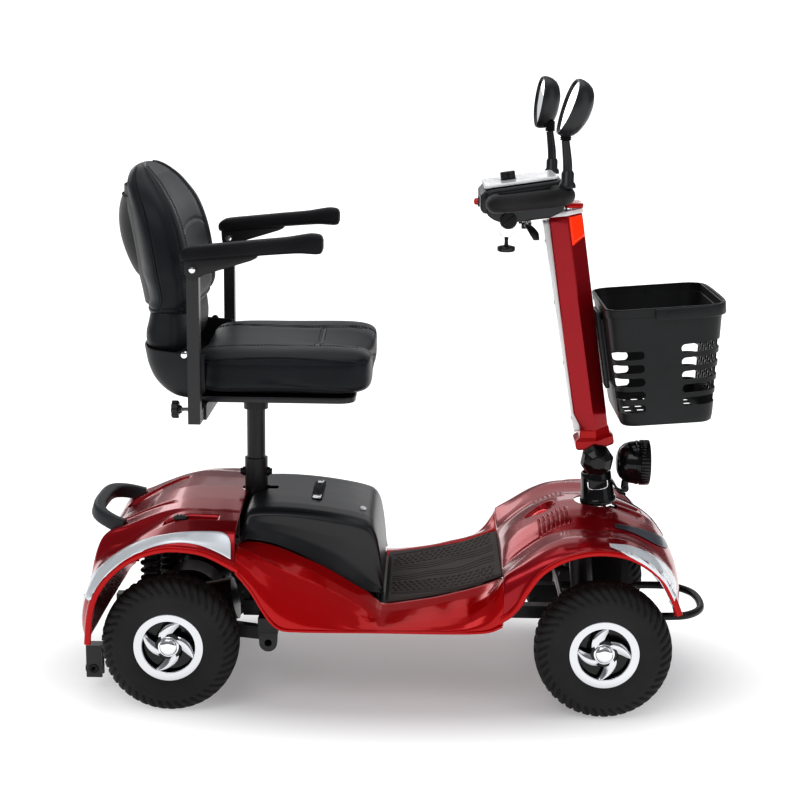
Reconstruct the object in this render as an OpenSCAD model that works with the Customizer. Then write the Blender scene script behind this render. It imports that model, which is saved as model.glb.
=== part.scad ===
/* [Wheels] */
// Distance between the axles
wheelbase = 808; // [800:1:816]
// Outer radius of a tyre
wheel_r = 128; // [125:1:130]
// Width of a tyre
tyre_w = 82; // [76:1:84]
// Distance between the middle planes of the left and right wheels
track = 458; // [454:1:462]
// Diameter of the wheel axles
axle_d = 16; // [12:1:18]

/* [Bodywork] */
// Overall width of the cowls
cowl_w = 536; // [530:1:540]
// Wall thickness of the moulded cowls
wall = 4; // [3:0.5:5]
// Height of the rear deck
deck_z = 364; // [360:1:368]
// Height of the front hump
hump_z = 357; // [352:1:360]
// Height of the bottom edge of the side skirts
skirt_z = 167; // [160:1:170]

/* [Seat] */
// Width of the seat cushion
seat_w = 444; // [420:1:450]
// Height of the underside of the seat
seat_z = 580; // [578:1:584]
// Thickness of the seat cushion
cushion_t = 84; // [70:1:88]
// Forward position of the seat post's axis
post_x = -295; // [-297:1:-293]
// Outer diameter of the sliding seat post
post_d = 36; // [34:1:38]
// Distance from the middle plane to an armrest post
arm_y = 268; // [262:1:274]

/* [Steering] */
// Forward position of the tiller's tilt pivot
tilt_x = 370.5; // [369:0.5:372]
// Height of the tiller's tilt pivot
tilt_z = 446; // [444:1:450]
// Rearward lean of the tiller
tiller_lean = 9.2; // [8:0.1:10]
// Rearward lean of the steering axis and of the kingpins
caster = 6.5; // [6:0.1:7]
// Distance from the middle plane to a kingpin
kingpin_y = 165; // [163:1:167]
// Half width of the wraparound handlebar
bar_half = 228; // [215:1:232]
// Diameter of the handlebar's foam grip
grip_d = 33; // [30:1:35]

/* [Basket] */
// Width of the basket at its rim
basket_w = 316; // [300:2:320]
// Height of the basket's rim
basket_top = 756; // [752:1:760]

/* [Hidden] */
$fn = 48;
rear_x = -433;
front_x = rear_x + wheelbase;
wheel_y = track / 2;
run = 0.05;
arch_rear = [-420, 138, 172];
arch_front = [[186, 140], [186, 191], [217, 219], [234, 250], [261, 285], [305, 310], [360, 321],
  [416, 313], [462, 283], [488, 244], [504, 214], [504, 140]];
swing = [-256, 108];
fold = [-402, 671];
fold_pin = 10;
handle_pin = 6;
lever_pin = 8;
flip = [-376, 835];
post_r = post_d / 2;
socket_r = 22.5;
seat_top = seat_z + 12 + cushion_t;
pitman = 60;
spring_x = -487;
light = [445, 431];
light_pivot = [433, 379];
socket_at = [186, 912];
handle_at = [482, 748];

// A box given by its low and high corners
module block(lo, hi) translate(lo) cube(hi - lo);

// A box and its mirror image across the middle plane
module block_pair(lo, hi) {
  block(lo, hi);
  mirror([0, 1, 0]) block(lo, hi);
}

// A round rod between two points
module rod(p, q, d) {
  v = q - p;
  len = norm(v);
  translate(p) rotate([0, acos(v[2] / len), atan2(v[1], v[0])]) cylinder(h = len, d = d);
}

function unit(v) = v / norm(v);

// A round bar swept smoothly through a list of points
module bent_rod(points, d, sides = 14, steps = 4) {
  last = len(points) - 1;
  path = concat([for (i = [0 : last - 1], k = [0 : steps - 1]) let (f = k / steps,
    a = points[max(i - 1, 0)], b = points[i], c = points[i + 1], e = points[min(i + 2, last)])
    b + (c - a) * f / 2 + (2 * a - 5 * b + 4 * c - e) * f * f / 2 + (3 * b - a - 3 * c + e) * f * f * f / 2],
    [points[last]]);
  n = len(path);
  rings = [for (i = [0 : n - 1]) let (t = unit(path[min(i + 1, n - 1)] - path[max(i - 1, 0)]),
    side = unit(cross(t, [0, 0, 1])), up = cross(side, t))
    for (k = [0 : sides - 1]) path[i] + (cos(360 * k / sides) * side + sin(360 * k / sides) * up) * d / 2];
  walls = [for (i = [0 : n - 2], k = [0 : sides - 1]) let (a = i * sides + k, b = i * sides + (k + 1) % sides)
    [a, b, b + sides, a + sides]];
  polyhedron(rings, concat([[for (k = [sides - 1 : -1 : 0]) k]], walls,
    [[for (k = [0 : sides - 1]) (n - 1) * sides + k]]), convexity = 6);
}

// A side view outline, extruded across the scooter from y0 to y1
module side_form(y0, y1) translate([0, y1, 0]) rotate([90, 0, 0]) linear_extrude(y1 - y0) children();

// A front view outline, extruded forwards from x0 to x1
module front_form(x0, x1) translate([x0, 0, 0]) rotate([90, 0, 90]) linear_extrude(x1 - x0) children();

// A round bar across the scooter at x, z, from y0 to y1
module cross_rod(x, z, y0, y1, d) translate([x, y0, z]) rotate([-90, 0, 0]) cylinder(h = y1 - y0, d = d);

// Children placed in the frame of a leaning axis through [x, z], its own Z along the axis
module lean(x, z, angle) translate([x, 0, z]) rotate([0, -angle, 0]) children();

// The solid inside the rear cowl's skin, shrunk by s
module rear_form(s) {
  low = 100 - (s > 0 ? 40 : 0);
  side_w = cowl_w / 2 - s;
  intersection() {
    side_form(-side_w, side_w) polygon([[-309 + (s > 0 ? 10 : 0), low], [-309 + (s > 0 ? 10 : 0), deck_z - 6 - s],
      [-370, deck_z - s], [-440, deck_z - 1 - s], [-480, 350 - s], [-520, 320 - s], [-560 + s, 303 - s],
      [-585 + s, 272 - s], [-597 + s, 218], [-598 + s, 160], [-585 + s, 130 - (s > 0 ? 40 : 0)], [-585 + s, low]]);
    front_form(-600, -290) polygon([[-side_w, low], [side_w, low], [side_w, 322 - s], [side_w - 20, 334 - s],
      [200, 347 - s], [150, deck_z - 2 - s], [0, deck_z + 6 - s], [-150, deck_z - 2 - s], [-200, 347 - s],
      [20 - side_w, 334 - s], [-side_w, 322 - s]]);
    linear_extrude(500) polygon([[-280, -side_w], [-280, side_w], [-545, side_w], [-585 + s, side_w - 22],
      [-600 + s, side_w - 60], [-602 + s, 0], [-600 + s, 60 - side_w], [-585 + s, 22 - side_w], [-545, -side_w]]);
  }
}

module rear_cowl() color("firebrick") difference() {
  rear_form(0);
  rear_form(wall);
  block([-620, -400, 0], [-280, 400, 130]);
  cross_rod(arch_rear[0], arch_rear[1], -400, 400, 2 * arch_rear[2]);
  translate([post_x, 0, 300]) cylinder(h = 120, r = socket_r + 4);
  block([-450, -196, 340], [-352, -180, 380]);
}

// The solid inside the front cowl's skin, shrunk by s
module front_body(s) {
  side_w = cowl_w / 2 - 4 - s;
  back = 188 + (s > 0 ? -20 : 0);
  intersection() {
    union() {
      side_form(-side_w, side_w) {
        polygon([[back, 150], [back, 218 - s], [230, 268 - s], [262, 302 - s], [305, 324 - s], [350, 336 - s],
          [400, 331 - s], [445, 310 - s], [480, 278 - s], [512 - s, 214], [512 - s, 150]]);
      }
      side_form(-150 + s, 150 - s)
        polygon([[back, 150], [back, 240 - s], [215, 278 - s], [248, 318 - s], [306, 350 - s], [340, hump_z - s],
          [380, hump_z - s], [425, 345 - s], [486, 316 - s], [520 - s, 268], [536 - s, 214], [536 - s, 150]]);
    }
    front_form(150, 560) polygon([[-side_w, 100], [side_w, 100], [side_w, 330 - s], [side_w - 12, 336 - s],
      [150, 340 - s], [90, 352 - s], [0, hump_z + 2 - s], [-90, 352 - s], [-150, 340 - s],
      [12 - side_w, 336 - s], [-side_w, 330 - s]]);
    linear_extrude(500) polygon([[150, -side_w], [150, side_w], [470, side_w], [505 - s, side_w - 6],
      [520 - s, 150], [536 - s, 60], [536 - s, -60], [520 - s, -150], [505 - s, 6 - side_w], [470, -side_w]]);
  }
}

module front_cowl() color("firebrick") difference() {
  front_body(0);
  front_body(wall);
  block([170, -400, 100], [620, 400, 190]);
  block([400, -400, 100], [620, 400, 214]);
  side_form(-400, 400) polygon(arch_front);
  translate([378, 0, 300]) cylinder(h = 120, r = 44);
}

// The solid inside the middle shell's skin, shrunk by s
module middle_form(s) {
  grow = s > 0 ? 20 : 0;
  side_w = cowl_w / 2 - s;
  intersection() {
    side_form(-side_w, side_w) polygon([[-308 - grow, 100], [-308 - grow, 316 - s], [-249, 304 - s], [-193, 280 - s],
      [-137, 246 - s], [-100, 221 - s], [-60, 203 - s], [-36, 191 - s], [100, 205 - s], [150, 218 - s], [187 + grow, 236 - s],
      [187 + grow, 100]]);
    front_form(-340, 240) polygon([[-side_w, 60], [side_w, 60], [side_w, 240 - s], [210, 300 - s], [200, 330 - s],
      [-200, 330 - s], [-210, 300 - s], [-side_w, 240 - s]]);
    union() {
      front_form(-340, -90) square([2 * side_w, 800], center = true);
      front_form(-100, 240) polygon([[-side_w, 100], [side_w, 100], [side_w, 185 - s / 2], [165, 250], [-165, 250],
        [-side_w, 185 - s / 2]]);
    }
  }
}

module footwell_shell() color("firebrick") difference() {
  middle_form(0);
  middle_form(wall);
  block([-400, -400, 0], [300, 400, skirt_z]);
  block([163, -400, 0], [300, 400, skirt_z + 8]);
  cross_rod(arch_rear[0], arch_rear[1], -400, 400, 2 * arch_rear[2] + 4);
  block([-310, -140, 180], [-52, 140, 340]);
}

// Rubber mat with a lengthwise rib pattern, lying on the rising floor
module foot_mat() color([0.22, 0.2, 0.19]) intersection() {
  side_form(-162, 162) polygon([[-34, 191.4], [100, 205.2], [150, 218.2], [187, 236.2], [187, 242],
    [150, 224], [100, 211], [-34, 197]]);
  linear_extrude(400) polygon([[-34, -162], [-34, 162], [187, 148], [187, -148]]);
}

module rear_frame() color([0.1, 0.1, 0.1]) {
  difference() {
    union() {
      block_pair([-312, 70, 135], [118, 95, 165]);
      block([-312, -95, 135], [-278, 95, 165]);
      block([-120, -95, 140], [-95, 95, 160]);
      block([88, -95, 140], [118, 95, 160]);
      block([-275, -182, 128], [-237, 182, 158]);
      for (s = [-1, 1]) hull() {
        cross_rod(swing[0], swing[1], s * 172 - 6, s * 172 + 6, 34);
        block([-274, s * 172 - 6, 128], [-238, s * 172 + 6, 130]);
      }
      block([-330, -80, 276], [-318, 80, 296]);
      block_pair([-545, 60, 276], [-318, 80, 296]);
      block([-545, -150, 276], [-525, 150, 296]);
      block([spring_x - 26, -150, 276], [spring_x + 26, 150, 282]);
      block_pair([-312, 75, 165], [-300, 90, 290]);
      block_pair([-330, 60, 276], [-300, 90, 290]);
    }
    cross_rod(swing[0], swing[1], -200, 200, 14 + 2 * run);
  }
  block([-262, -90, 165], [-110, 90, 170]);
}

module front_frame() color([0.1, 0.1, 0.1]) {
  difference() {
    union() {
      block_pair([118, 55, 133], [400, 80, 158]);
      block([118, -80, 138], [148, 80, 158]);
      block([360, -150, 112], [390, 150, 142]);
      block_pair([345, 55, 156], [425, 61, 310]);
      block([372, -61, 205], [425, 61, 215]);
      block([365, -61, 295], [415, 61, 305]);
      for (s = [-1, 1]) translate([front_x, s * kingpin_y, 128]) rotate([0, -caster, 0])
        translate([0, 0, -24]) cylinder(h = 48, r = 16);
      lean(tilt_x, tilt_z, caster) translate([0, 0, -245]) cylinder(h = 140, r = 19);
    }
    for (s = [-1, 1]) translate([front_x, s * kingpin_y, 128]) rotate([0, -caster, 0])
      translate([0, 0, -60]) cylinder(h = 120, r = 9 + run);
    lean(tilt_x, tilt_z, caster) translate([0, 0, -290]) cylinder(h = 240, r = 12 + run);
  }
  for (s = [-1, 1]) front_shock(s);
}

// Coil-over shock between the axle beam and the head plates
module front_shock(s) {
  rod([350, s * 100, 139], [336, s * 100, 300], 12);
  translate([347, s * 100, 190]) rotate([0, -5, 0]) difference() {
    cylinder(h = 90, r = 22);
    translate([0, 0, 8]) cylinder(h = 74, r = 18);
  }
  block([338, min(s * 108, s * 55), 135], [365, max(s * 108, s * 55), 142]);
  block([328, min(s * 108, s * 55), 296], [366, max(s * 108, s * 55), 302]);
}

module seat_post_socket() color([0.08, 0.08, 0.08]) {
  difference() {
    union() {
      translate([post_x, 0, 165]) cylinder(h = 265, r = socket_r);
      block([post_x - 22, -70, 165], [post_x + 22, 70, 171]);
      block([-318, -3, 276], [-310, 3, 296]);
    }
    translate([post_x, 0, 150]) cylinder(h = 300, r = post_r + run);
  }
  for (s = [-1, 1]) translate([post_x + s * 20.5, 0, 401]) rotate([0, s * 90, 0]) {
    cylinder(h = 6, r = 9);
    cylinder(h = 10.5, r = 6.5);
  }
}

// Hoop whose two legs are pressed into the ends of the front rails
module front_bumper() color([0.06, 0.06, 0.06])
  bent_rod([[384, -68, 146], [425, -68, 146], [470, -96, 147], [520, -98, 148], [576, -64, 148], [590, -42, 148],
    [590, 42, 148], [576, 64, 148], [520, 98, 148], [470, 96, 147], [425, 68, 146], [384, 68, 146]], 15);

// U-shaped grab handle standing off the rear cowl
module rear_grab_handle() color([0.2, 0.2, 0.2])
  bent_rod([[-508, -118, 329], [-548, -118, 330], [-585, -90, 331], [-594, -60, 331], [-594, 60, 331],
    [-585, 90, 331], [-548, 118, 330], [-508, 118, 329]], 24);

module drive_unit() color([0.15, 0.15, 0.15]) {
  difference() {
    union() {
      cross_rod(swing[0], swing[1], -160, 160, 26);
      for (s = [-1, 1]) {
        hull() {
          cross_rod(swing[0], swing[1], s * 120 - 9, s * 120 + 9, 24);
          cross_rod(rear_x, wheel_r, s * 120 - 9, s * 120 + 9, 30);
        }
        block([-515, s * 120 - 12, 135], [-420, s * 120 + 12, 147]);
        translate([spring_x, s * 120, 147]) cylinder(h = 18, r = 24);
      }
      block([-515, -120, 100], [-503, 120, 147]);
      block_pair([-590, 151, 82], [-503, 163, 94]);
      block_pair([-515, 108, 82], [-495, 163, 94]);
      block_pair([-515, 108, 82], [-503, 132, 147]);
      for (s = [-1, 1]) for (e = [-13, 7]) block([-607, s * 157 + e, 30], [-577, s * 157 + e + 6, 94]);
      block_pair([-607, 144, 82], [-577, 170, 94]);
    }
    cross_rod(swing[0], swing[1], -200, 200, 14 + 2 * run);
    cross_rod(-593, 47, -200, 200, 8 + 2 * run);
  }
  cross_rod(rear_x, wheel_r, -186, 186, 34);
  cross_rod(rear_x, wheel_r, 10, 78, 128);
  cross_rod(rear_x, wheel_r, -130, 130, 60);
  for (s = [-1, 1]) cross_rod(rear_x, wheel_r, min(s * 186, s * 262), max(s * 186, s * 262), axle_d);
  translate([-425, -25, 128]) rotate([0, 78, 0]) cylinder(h = 92, d = 84);
}

// Two coil springs between the drive unit and the rear frame
module rear_springs() color([0.05, 0.05, 0.05])
  for (s = [-1, 1]) translate([spring_x, s * 120, 165.3]) difference() {
    cylinder(h = 110.4, r = 22);
    translate([0, 0, 10]) cylinder(h = 90, r = 17);
  }

module anti_tip_roller(s) color([0.05, 0.05, 0.05]) {
  cross_rod(-593, 47, s * 157 - 6.5, s * 157 + 6.5, 34);
  cross_rod(-593, 47, s * 157 - 15, s * 157 + 15, 8);
}

module freewheel_lever() color([0.05, 0.05, 0.05]) {
  block([-424, -193, 352], [-412, -183, 374]);
  block([-440, -195, 352], [-396, -181, 355]);
}

// Wheel parts are drawn about their own axis, outboard side up
module place_wheel(x, s) translate([x, s * wheel_y, wheel_r]) rotate([-s * 90, 0, 0]) children();

module tyre_form() color([0.05, 0.05, 0.05]) {
  h = tyre_w / 2;
  rotate_extrude($fn = 96) polygon([[57, -29], [65.5, -29], [66, -37], [100, 1 - h], [116, -h], [125, 8 - h],
    [wheel_r, 22 - h], [wheel_r, h - 22], [125, h - 8], [116, h], [100, h - 1], [66, 37], [65.5, 29], [57, 29]]);
}

module rim_form() color("silver") difference() {
  union() {
    rotate_extrude($fn = 96) polygon([[50, -36.5], [65, -36.5], [65, -29.3], [56.7, -29.3], [56.7, 29.3], [65, 29.3],
      [65, 36.5], [50, 36.5]]);
    for (a = [0 : 90 : 270]) rotate([0, 0, a + 20]) translate([0, -9, 14]) cube([52, 18, 16]);
    translate([0, 0, -30]) cylinder(h = 62, r = 20);
    translate([0, 0, 32]) cylinder(h = 8, r = 17);
  }
  translate([0, 0, -60]) cylinder(h = 95, r = axle_d / 2 + run);
}

// Kingpin, stub axle and steering arm, turning about the leaning kingpin axis
module knuckle(s) color([0.12, 0.12, 0.12]) {
  translate([front_x, s * kingpin_y, 128]) rotate([0, -caster, 0]) {
    translate([0, 0, -34]) cylinder(h = 80, r = 9);
    translate([0, 0, 24.5]) cylinder(h = 8, r = 18);
    translate([0, 0, -32.5]) cylinder(h = 8, r = 18);
    block([-12, min(s * 12, s * 26), 24.5], [12, max(s * 12, s * 26), 32.5]);
    block([-12, min(s * 12, s * 26), -32.5], [12, max(s * 12, s * 26), -24.5]);
    block([-12, min(s * 19, s * 26), -32.5], [12, max(s * 19, s * 26), 32.5]);
    difference() {
      block([-pitman - 10, -8, 32.5], [0, 8, 40]);
      translate([-pitman, 0, 30]) cylinder(h = 20, r = 5 + run);
    }
  }
  cross_rod(front_x, wheel_r, min(s * (kingpin_y + 22), s * 262), max(s * (kingpin_y + 22), s * 262), axle_d);
}

// Tie rod with a ball stud at each knuckle arm and one at the pitman arm
module tie_rod() color([0.5, 0.5, 0.52]) {
  for (s = [-1, 1]) translate([front_x, s * kingpin_y, 128]) rotate([0, -caster, 0])
    translate([-pitman, 0, 33]) cylinder(h = 20, r = 5);
  ball = [front_x - pitman * cos(caster) - 46 * sin(caster), 128 - pitman * sin(caster) + 46 * cos(caster)];
  cross_rod(ball[0], ball[1], -kingpin_y, kingpin_y, 11);
  lean(tilt_x, tilt_z, caster) translate([-pitman, 0, -275]) cylinder(h = 16, r = 5);
  translate([ball[0], -7, ball[1] - 5.5]) cube([39, 14, 6]);
}

// Lower column: shaft in the head tube, pitman arm, cup and hinge yoke
module steering_column() color([0.07, 0.07, 0.07]) {
  difference() {
    lean(tilt_x, tilt_z, caster) {
      translate([0, 0, -281]) cylinder(h = 190, r = 12);
      difference() {
        translate([-pitman - 10, -11, -271]) cube([pitman + 20, 22, 8]);
        translate([-pitman, 0, -280]) cylinder(h = 30, r = 5 + run);
      }
      translate([0, 0, -92]) cylinder(h = 58, r1 = 35, r2 = 27);
      translate([0, 0, -103]) cylinder(h = 8, r = 19);
      translate([0, 0, -96]) cylinder(h = 5, r = 25);
      for (s = [-1, 1]) translate([-14, s * 20 - 5, -40]) cube([28, 10, 40]);
      for (s = [-1, 1]) translate([0, s * 20 + 5, 0]) rotate([90, 0, 0]) cylinder(h = 10, r = 18);
    }
    cross_rod(tilt_x, tilt_z, -60, 60, 12 + 2 * run);
  }
  difference() {
    union() {
      for (s = [-1, 1]) hull() {
        block([388, s * 12 - 2, 392], [396, s * 12 + 2, 404]);
        cross_rod(light_pivot[0] - 13, light_pivot[1] - 8, s * 12 - 2, s * 12 + 2, 12);
      }
      for (s = [-1, 1]) hull() {
        cross_rod(light_pivot[0] - 13, light_pivot[1] - 8, s * 12 - 2, s * 12 + 2, 12);
        cross_rod(light_pivot[0], light_pivot[1], s * 12 - 2, s * 12 + 2, 14);
      }
    }
    cross_rod(light_pivot[0], light_pivot[1], -20, 20, 6 + 2 * run);
  }
}

module headlight() color([0.05, 0.05, 0.05]) {
  translate([light[0] - 31, 0, light[1]]) rotate([0, 90, 0]) difference() {
    union() {
      translate([0, 0, 38]) cylinder(h = 26, r = 44.5);
      rotate_extrude() polygon([[0, 0], [20, 0], [36, 12], [42, 26], [44, 38], [0, 38]]);
    }
    translate([0, 0, 58]) cylinder(h = 10, r = 40);
  }
  cross_rod(light_pivot[0], light_pivot[1], -9.5, 9.5, 14);
  block([light_pivot[0] - 6, -9.5, light_pivot[1]], [light_pivot[0] + 6, 9.5, light[1] - 30]);
  cross_rod(light_pivot[0], light_pivot[1], -17, 17, 6);
}

// Clamp knob on the right side of the tilt hinge, with its pin through both yokes
module tilt_knob() color([0.05, 0.05, 0.05]) {
  cross_rod(tilt_x, tilt_z, -34, 34, 12);
  translate([tilt_x, -52, tilt_z]) intersection() {
    sphere(r = 25);
    rotate([90, 0, 0]) translate([0, 0, -18]) cylinder(h = 40, r = 24);
  }
  cross_rod(tilt_x, tilt_z, 26, 34, 20);
}

module tiller_tube() color([0.6, 0.6, 0.62]) lean(tilt_x, tilt_z, tiller_lean) {
  difference() {
    union() {
      rotate([90, 0, 0]) translate([0, 0, -14.5]) cylinder(h = 29, r = 17);
      translate([-16, -14.5, 0]) cube([32, 29, 26]);
      translate([0, 0, 22]) cylinder(h = 490, r = 16);
    }
    rotate([90, 0, 0]) translate([0, 0, -30]) cylinder(h = 60, r = 6 + run);
    translate([0, 0, 40]) cylinder(h = 480, r = 13);
  }
}

// Six-sided outline of the tiller cover, widened by g
function tiller_outline(a, w) = [[-a, -w * 0.8], [-a, w * 0.8], [-a * 0.2, w], [a * 0.8, w * 0.72], [a, w * 0.4],
  [a, -w * 0.4], [a * 0.8, -w * 0.72], [-a * 0.2, -w]];

module tiller_cover() color("firebrick") lean(tilt_x, tilt_z, tiller_lean) difference() {
  union() {
    translate([0, 0, 34]) linear_extrude(height = 440, scale = [1.2, 1.06], slices = 1)
      polygon(tiller_outline(31, 45));
    translate([0, 0, 24]) linear_extrude(height = 12) polygon(tiller_outline(34, 46));
  }
  translate([0, 0, 46]) linear_extrude(height = 440, scale = [1.2, 1.06], slices = 1)
    polygon(tiller_outline(28, 42));
  translate([0, 0, 10]) cylinder(h = 60, r = 16.3);
  translate([-16.5, -15, 10]) cube([33, 30, 17]);
  translate([-45, -23.8, 51.5]) cube([25, 47.6, 417]);
}

module tiller_rear_panel() color([0.92, 0.92, 0.93]) lean(tilt_x, tilt_z, tiller_lean) translate([0, 0, 52])
  rotate([0, -0.75, 0]) translate([-31, -23.5, 0]) cube([4, 47, 416]);

module basket_bracket() color([0.05, 0.05, 0.05]) lean(tilt_x, tilt_z, tiller_lean) difference() {
  union() {
    translate([35, -42, 135]) cube([9, 84, 150]);
    for (s = [-1, 1]) translate([44, s * 36 - 6, 150]) cube([8, 12, 120]);
  }
  translate([38, -24, 150]) cube([20, 48, 120]);
}

// Rounded rectangle slab used for the basket, at height z
module basket_slab(x0, x1, w, z, r) hull()
  for (x = [x0 + r, x1 - r], y = [-w + r, w - r]) translate([x, y, z]) cylinder(h = 1, r = r, $fn = 24);

module basket() color([0.05, 0.05, 0.05]) {
  half = basket_w / 2;
  difference() {
    hull() {
      basket_slab(384, 600, half, basket_top - 1, 34);
      basket_slab(407, 572, half - 26, 540, 30);
    }
    hull() {
      basket_slab(388, 596, half - 4, basket_top + 1, 30);
      basket_slab(411, 568, half - 30, 544, 26);
    }
    for (k = [0 : 4]) {
      block([420, -200, 572 + 23 * k], [470, 200, 583 + 23 * k]);
      block([496, -200, 578 + 23 * k], [545, 200, 589 + 23 * k]);
    }
    for (x = [430 : 26 : 540], y = [-104 : 26 : 104]) block([x, y - 9, 530], [x + 18, y + 9, 560]);
    for (k = [0 : 4], y = [-95 : 38 : 95]) block([560, y - 14, 580 + 24 * k], [620, y + 14, 594 + 24 * k]);
    cross_rod(handle_at[0], handle_at[1], -200, 200, handle_pin + 2 * run);
  }
}

// Carrying handle: two arms pivoting on the basket's sides and a bar over the front rim
module basket_handle() color([0.08, 0.08, 0.08]) {
  y = basket_w / 2 + 4.5;
  for (s = [-1, 1]) cross_rod(handle_at[0], handle_at[1], min(s * (y - 12), s * y), max(s * (y - 12), s * y), handle_pin);
  bent_rod([[482, -y, 748], [500, -y, 760], [574, -y + 4, 762], [597, -y + 30, 762], [602, 0, 762],
    [597, y - 30, 762], [574, y - 4, 762], [500, y, 760], [482, y, 748]], 8);
}

module console_housing() color([0.06, 0.06, 0.06]) {
  difference() {
    union() {
      side_form(-105, 105) polygon([[134, 925], [150, 914], [176, 905], [262, 917], [292, 930], [292, 978],
        [284, 990], [140, 968], [133, 960]]);
      block_pair([213, 46, 893], [231, 54, 916]);
      cross_rod(socket_at[0], socket_at[1], -106, -70, 33);
    }
    cross_rod(222, 900, -60, 60, 8 + 2 * run);
    lean(tilt_x, tilt_z, tiller_lean) translate([0, 0, 450]) cylinder(h = 62.3, r = 16.2);
    translate([138, 0, 968.6]) rotate([0, -8.7, 0]) translate([52, 0, -14]) cylinder(h = 30, r = 5 + run);
    translate([125, 0, 938]) rotate([0, 90, 0]) cylinder(h = 24, r = 7.2);
    cross_rod(socket_at[0], socket_at[1], -130, -78, 16);
  }
}

// Face plate under the speed dial
module dash_panel() color([0.9, 0.9, 0.91]) translate([138, 0, 968.6]) rotate([0, -8.7, 0]) difference() {
  translate([4, -96, 0]) cube([136, 192, 4]);
  translate([52, 0, -5]) cylinder(h = 20, r = 17);
}

// Wraparound foam-covered bar in the console's plane
module handlebar_loop() color([0.1, 0.1, 0.1]) {
  b = bar_half;
  for (side = [0, 1]) mirror([0, side, 0])
    bent_rod([[162, -105.4, 946], [162, -125, 946], [157, -165, 947], [160, -b + 22, 950], [182, -b + 4, 953],
      [212, -b, 957], [245, -b + 2, 961], [272, -b + 18, 964], [285, -b + 52, 965], [282, -150, 965],
      [272, -125, 964], [272, -105.4, 964]], grip_d);
}

// Wig-wag throttle under the console: cross shaft with a paddle at each end
module throttle_lever() color([0.07, 0.07, 0.07]) {
  cross_rod(222, 900, -70, 70, 8);
  for (s = [-1, 1]) hull() {
    translate([222, s * 74, 900]) sphere(r = 9, $fn = 24);
    translate([234, s * 112, 882]) sphere(r = 8, $fn = 24);
    translate([240, s * 128, 868]) sphere(r = 5, $fn = 24);
  }
}

module horn_button() color("red") {
  translate([126, 0, 938]) rotate([0, 90, 0]) cylinder(h = 16, r = 7);
}

module speed_dial() color([0.05, 0.05, 0.05]) translate([138, 0, 968.6]) rotate([0, -8.7, 0]) translate([52, 0, 0]) {
  translate([0, 0, 4.6]) cylinder(h = 15, r = 14);
  translate([0, 0, -12]) cylinder(h = 20, r = 5);
}

// Plug-in key hanging on a ring
module safety_key() color([0.05, 0.05, 0.05]) {
  translate([185, -60, 855]) {
    translate([0, 0, -6]) cylinder(h = 12, r = 17);
    cylinder(h = 22, r = 3.5);
  }
  translate([185, -60, 888]) rotate([90, 0, 0]) rotate_extrude() translate([13, 0]) circle(d = 1.6, $fn = 16);
}

// Mirror stems stand in the ends of the handlebar
module mirror_stem(s) color([0.07, 0.07, 0.07]) {
  y = s * 196;
  translate([285, y, 982.2]) cylinder(h = 12, r = 15);
  rod([285, y, 990], [283, y, 1030], 22);
  rod([283, y, 1030], [279, s * 199, 1064], 15);
  translate([279, s * 199, 1070]) sphere(r = 9);
}

// Mirror head: a thick rounded shield whose glass faces rearwards
module mirror_head(s) color([0.06, 0.06, 0.06]) difference() {
  translate([288, s * 214, 1120]) rotate([0, 0, s * 14]) rotate([0, 14, 0]) hull() {
    translate([-8, s * 4, 20]) rotate([0, 90, 0]) cylinder(h = 14, r = 36, $fn = 32);
    translate([-8, s * -10, -24]) rotate([0, 90, 0]) cylinder(h = 14, r = 26, $fn = 32);
    translate([8, s * 2, 10]) rotate([0, 90, 0]) cylinder(h = 12, r = 22, $fn = 32);
  }
  translate([279, s * 199, 1070]) sphere(r = 9.5);
}

module seat_post() color([0.06, 0.06, 0.06]) translate([post_x, 0, 0]) {
  difference() {
    translate([0, 0, 230]) cylinder(h = 298, r = post_r);
    translate([0, 0, 220]) cylinder(h = 290, r = post_r - 3);
  }
  translate([0, 0, 528]) cylinder(h = 36, r = 12);
}

module seat_base() color([0.1, 0.1, 0.1]) difference() {
  union() {
    translate([post_x, 0, 529]) cylinder(h = 45, r = 24);
    block([-385, -100, 574], [-205, 100, seat_z]);
    block([-391.5, -222, 551.5], [-362.5, 222, 580]);
  }
  block([-388.7, -260, 554.3], [-365.3, 260, 577.7]);
  for (s = [-1, 1]) translate([-395, s * 200, 566]) rotate([0, 90, 0]) cylinder(h = 10, r = 4 + run);
  translate([post_x, 0, 520]) cylinder(h = 46, r = 12 + run);
  translate([-256, 14, 570]) cylinder(h = 20, r = lever_pin / 2 + run);
}

// Swivel release lever under the left edge of the seat
module swivel_lever() color([0.08, 0.08, 0.08]) {
  block([-262, 8, 566], [-250, 200, 571]);
  translate([-256, 14, 566]) cylinder(h = 13, d = lever_pin);
  translate([-256, 205, 568.5]) rotate([90, 0, 0]) cylinder(h = 40, r = 7);
}

module seat_shell() color([0.08, 0.08, 0.08]) difference() {
  half = seat_w / 2 - 6;
  intersection() {
    union() {
      side_form(-half, half) polygon([[-90, seat_z], [-403, seat_z], [-450, 596], [-470, 616], [-488, 678],
        [-482, 680], [-464, 622], [-445, 604], [-400, seat_z + 12], [-90, seat_z + 12]]);
      for (s = [-1, 1]) side_form(s * (half - 3) - 3, s * (half - 3) + 3) polygon([[-395, seat_z + 2],
        [-403, seat_z], [-450, 596], [-470, 616], [-488, 678], [-420, 684], [-395, 640]]);
      for (s = [-1, 1]) cross_rod(fold[0], fold[1], s * (half - 3) - 3, s * (half - 3) + 3, 18);
    }
    linear_extrude(900) polygon([[-60, -half], [-60, half], [-440, half], [-475, half - 16], [-492, half - 60],
      [-492, 60 - half], [-475, 16 - half], [-440, -half]]);
  }
  cross_rod(fold[0], fold[1], -300, 300, fold_pin + 2 * run);
}

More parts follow.
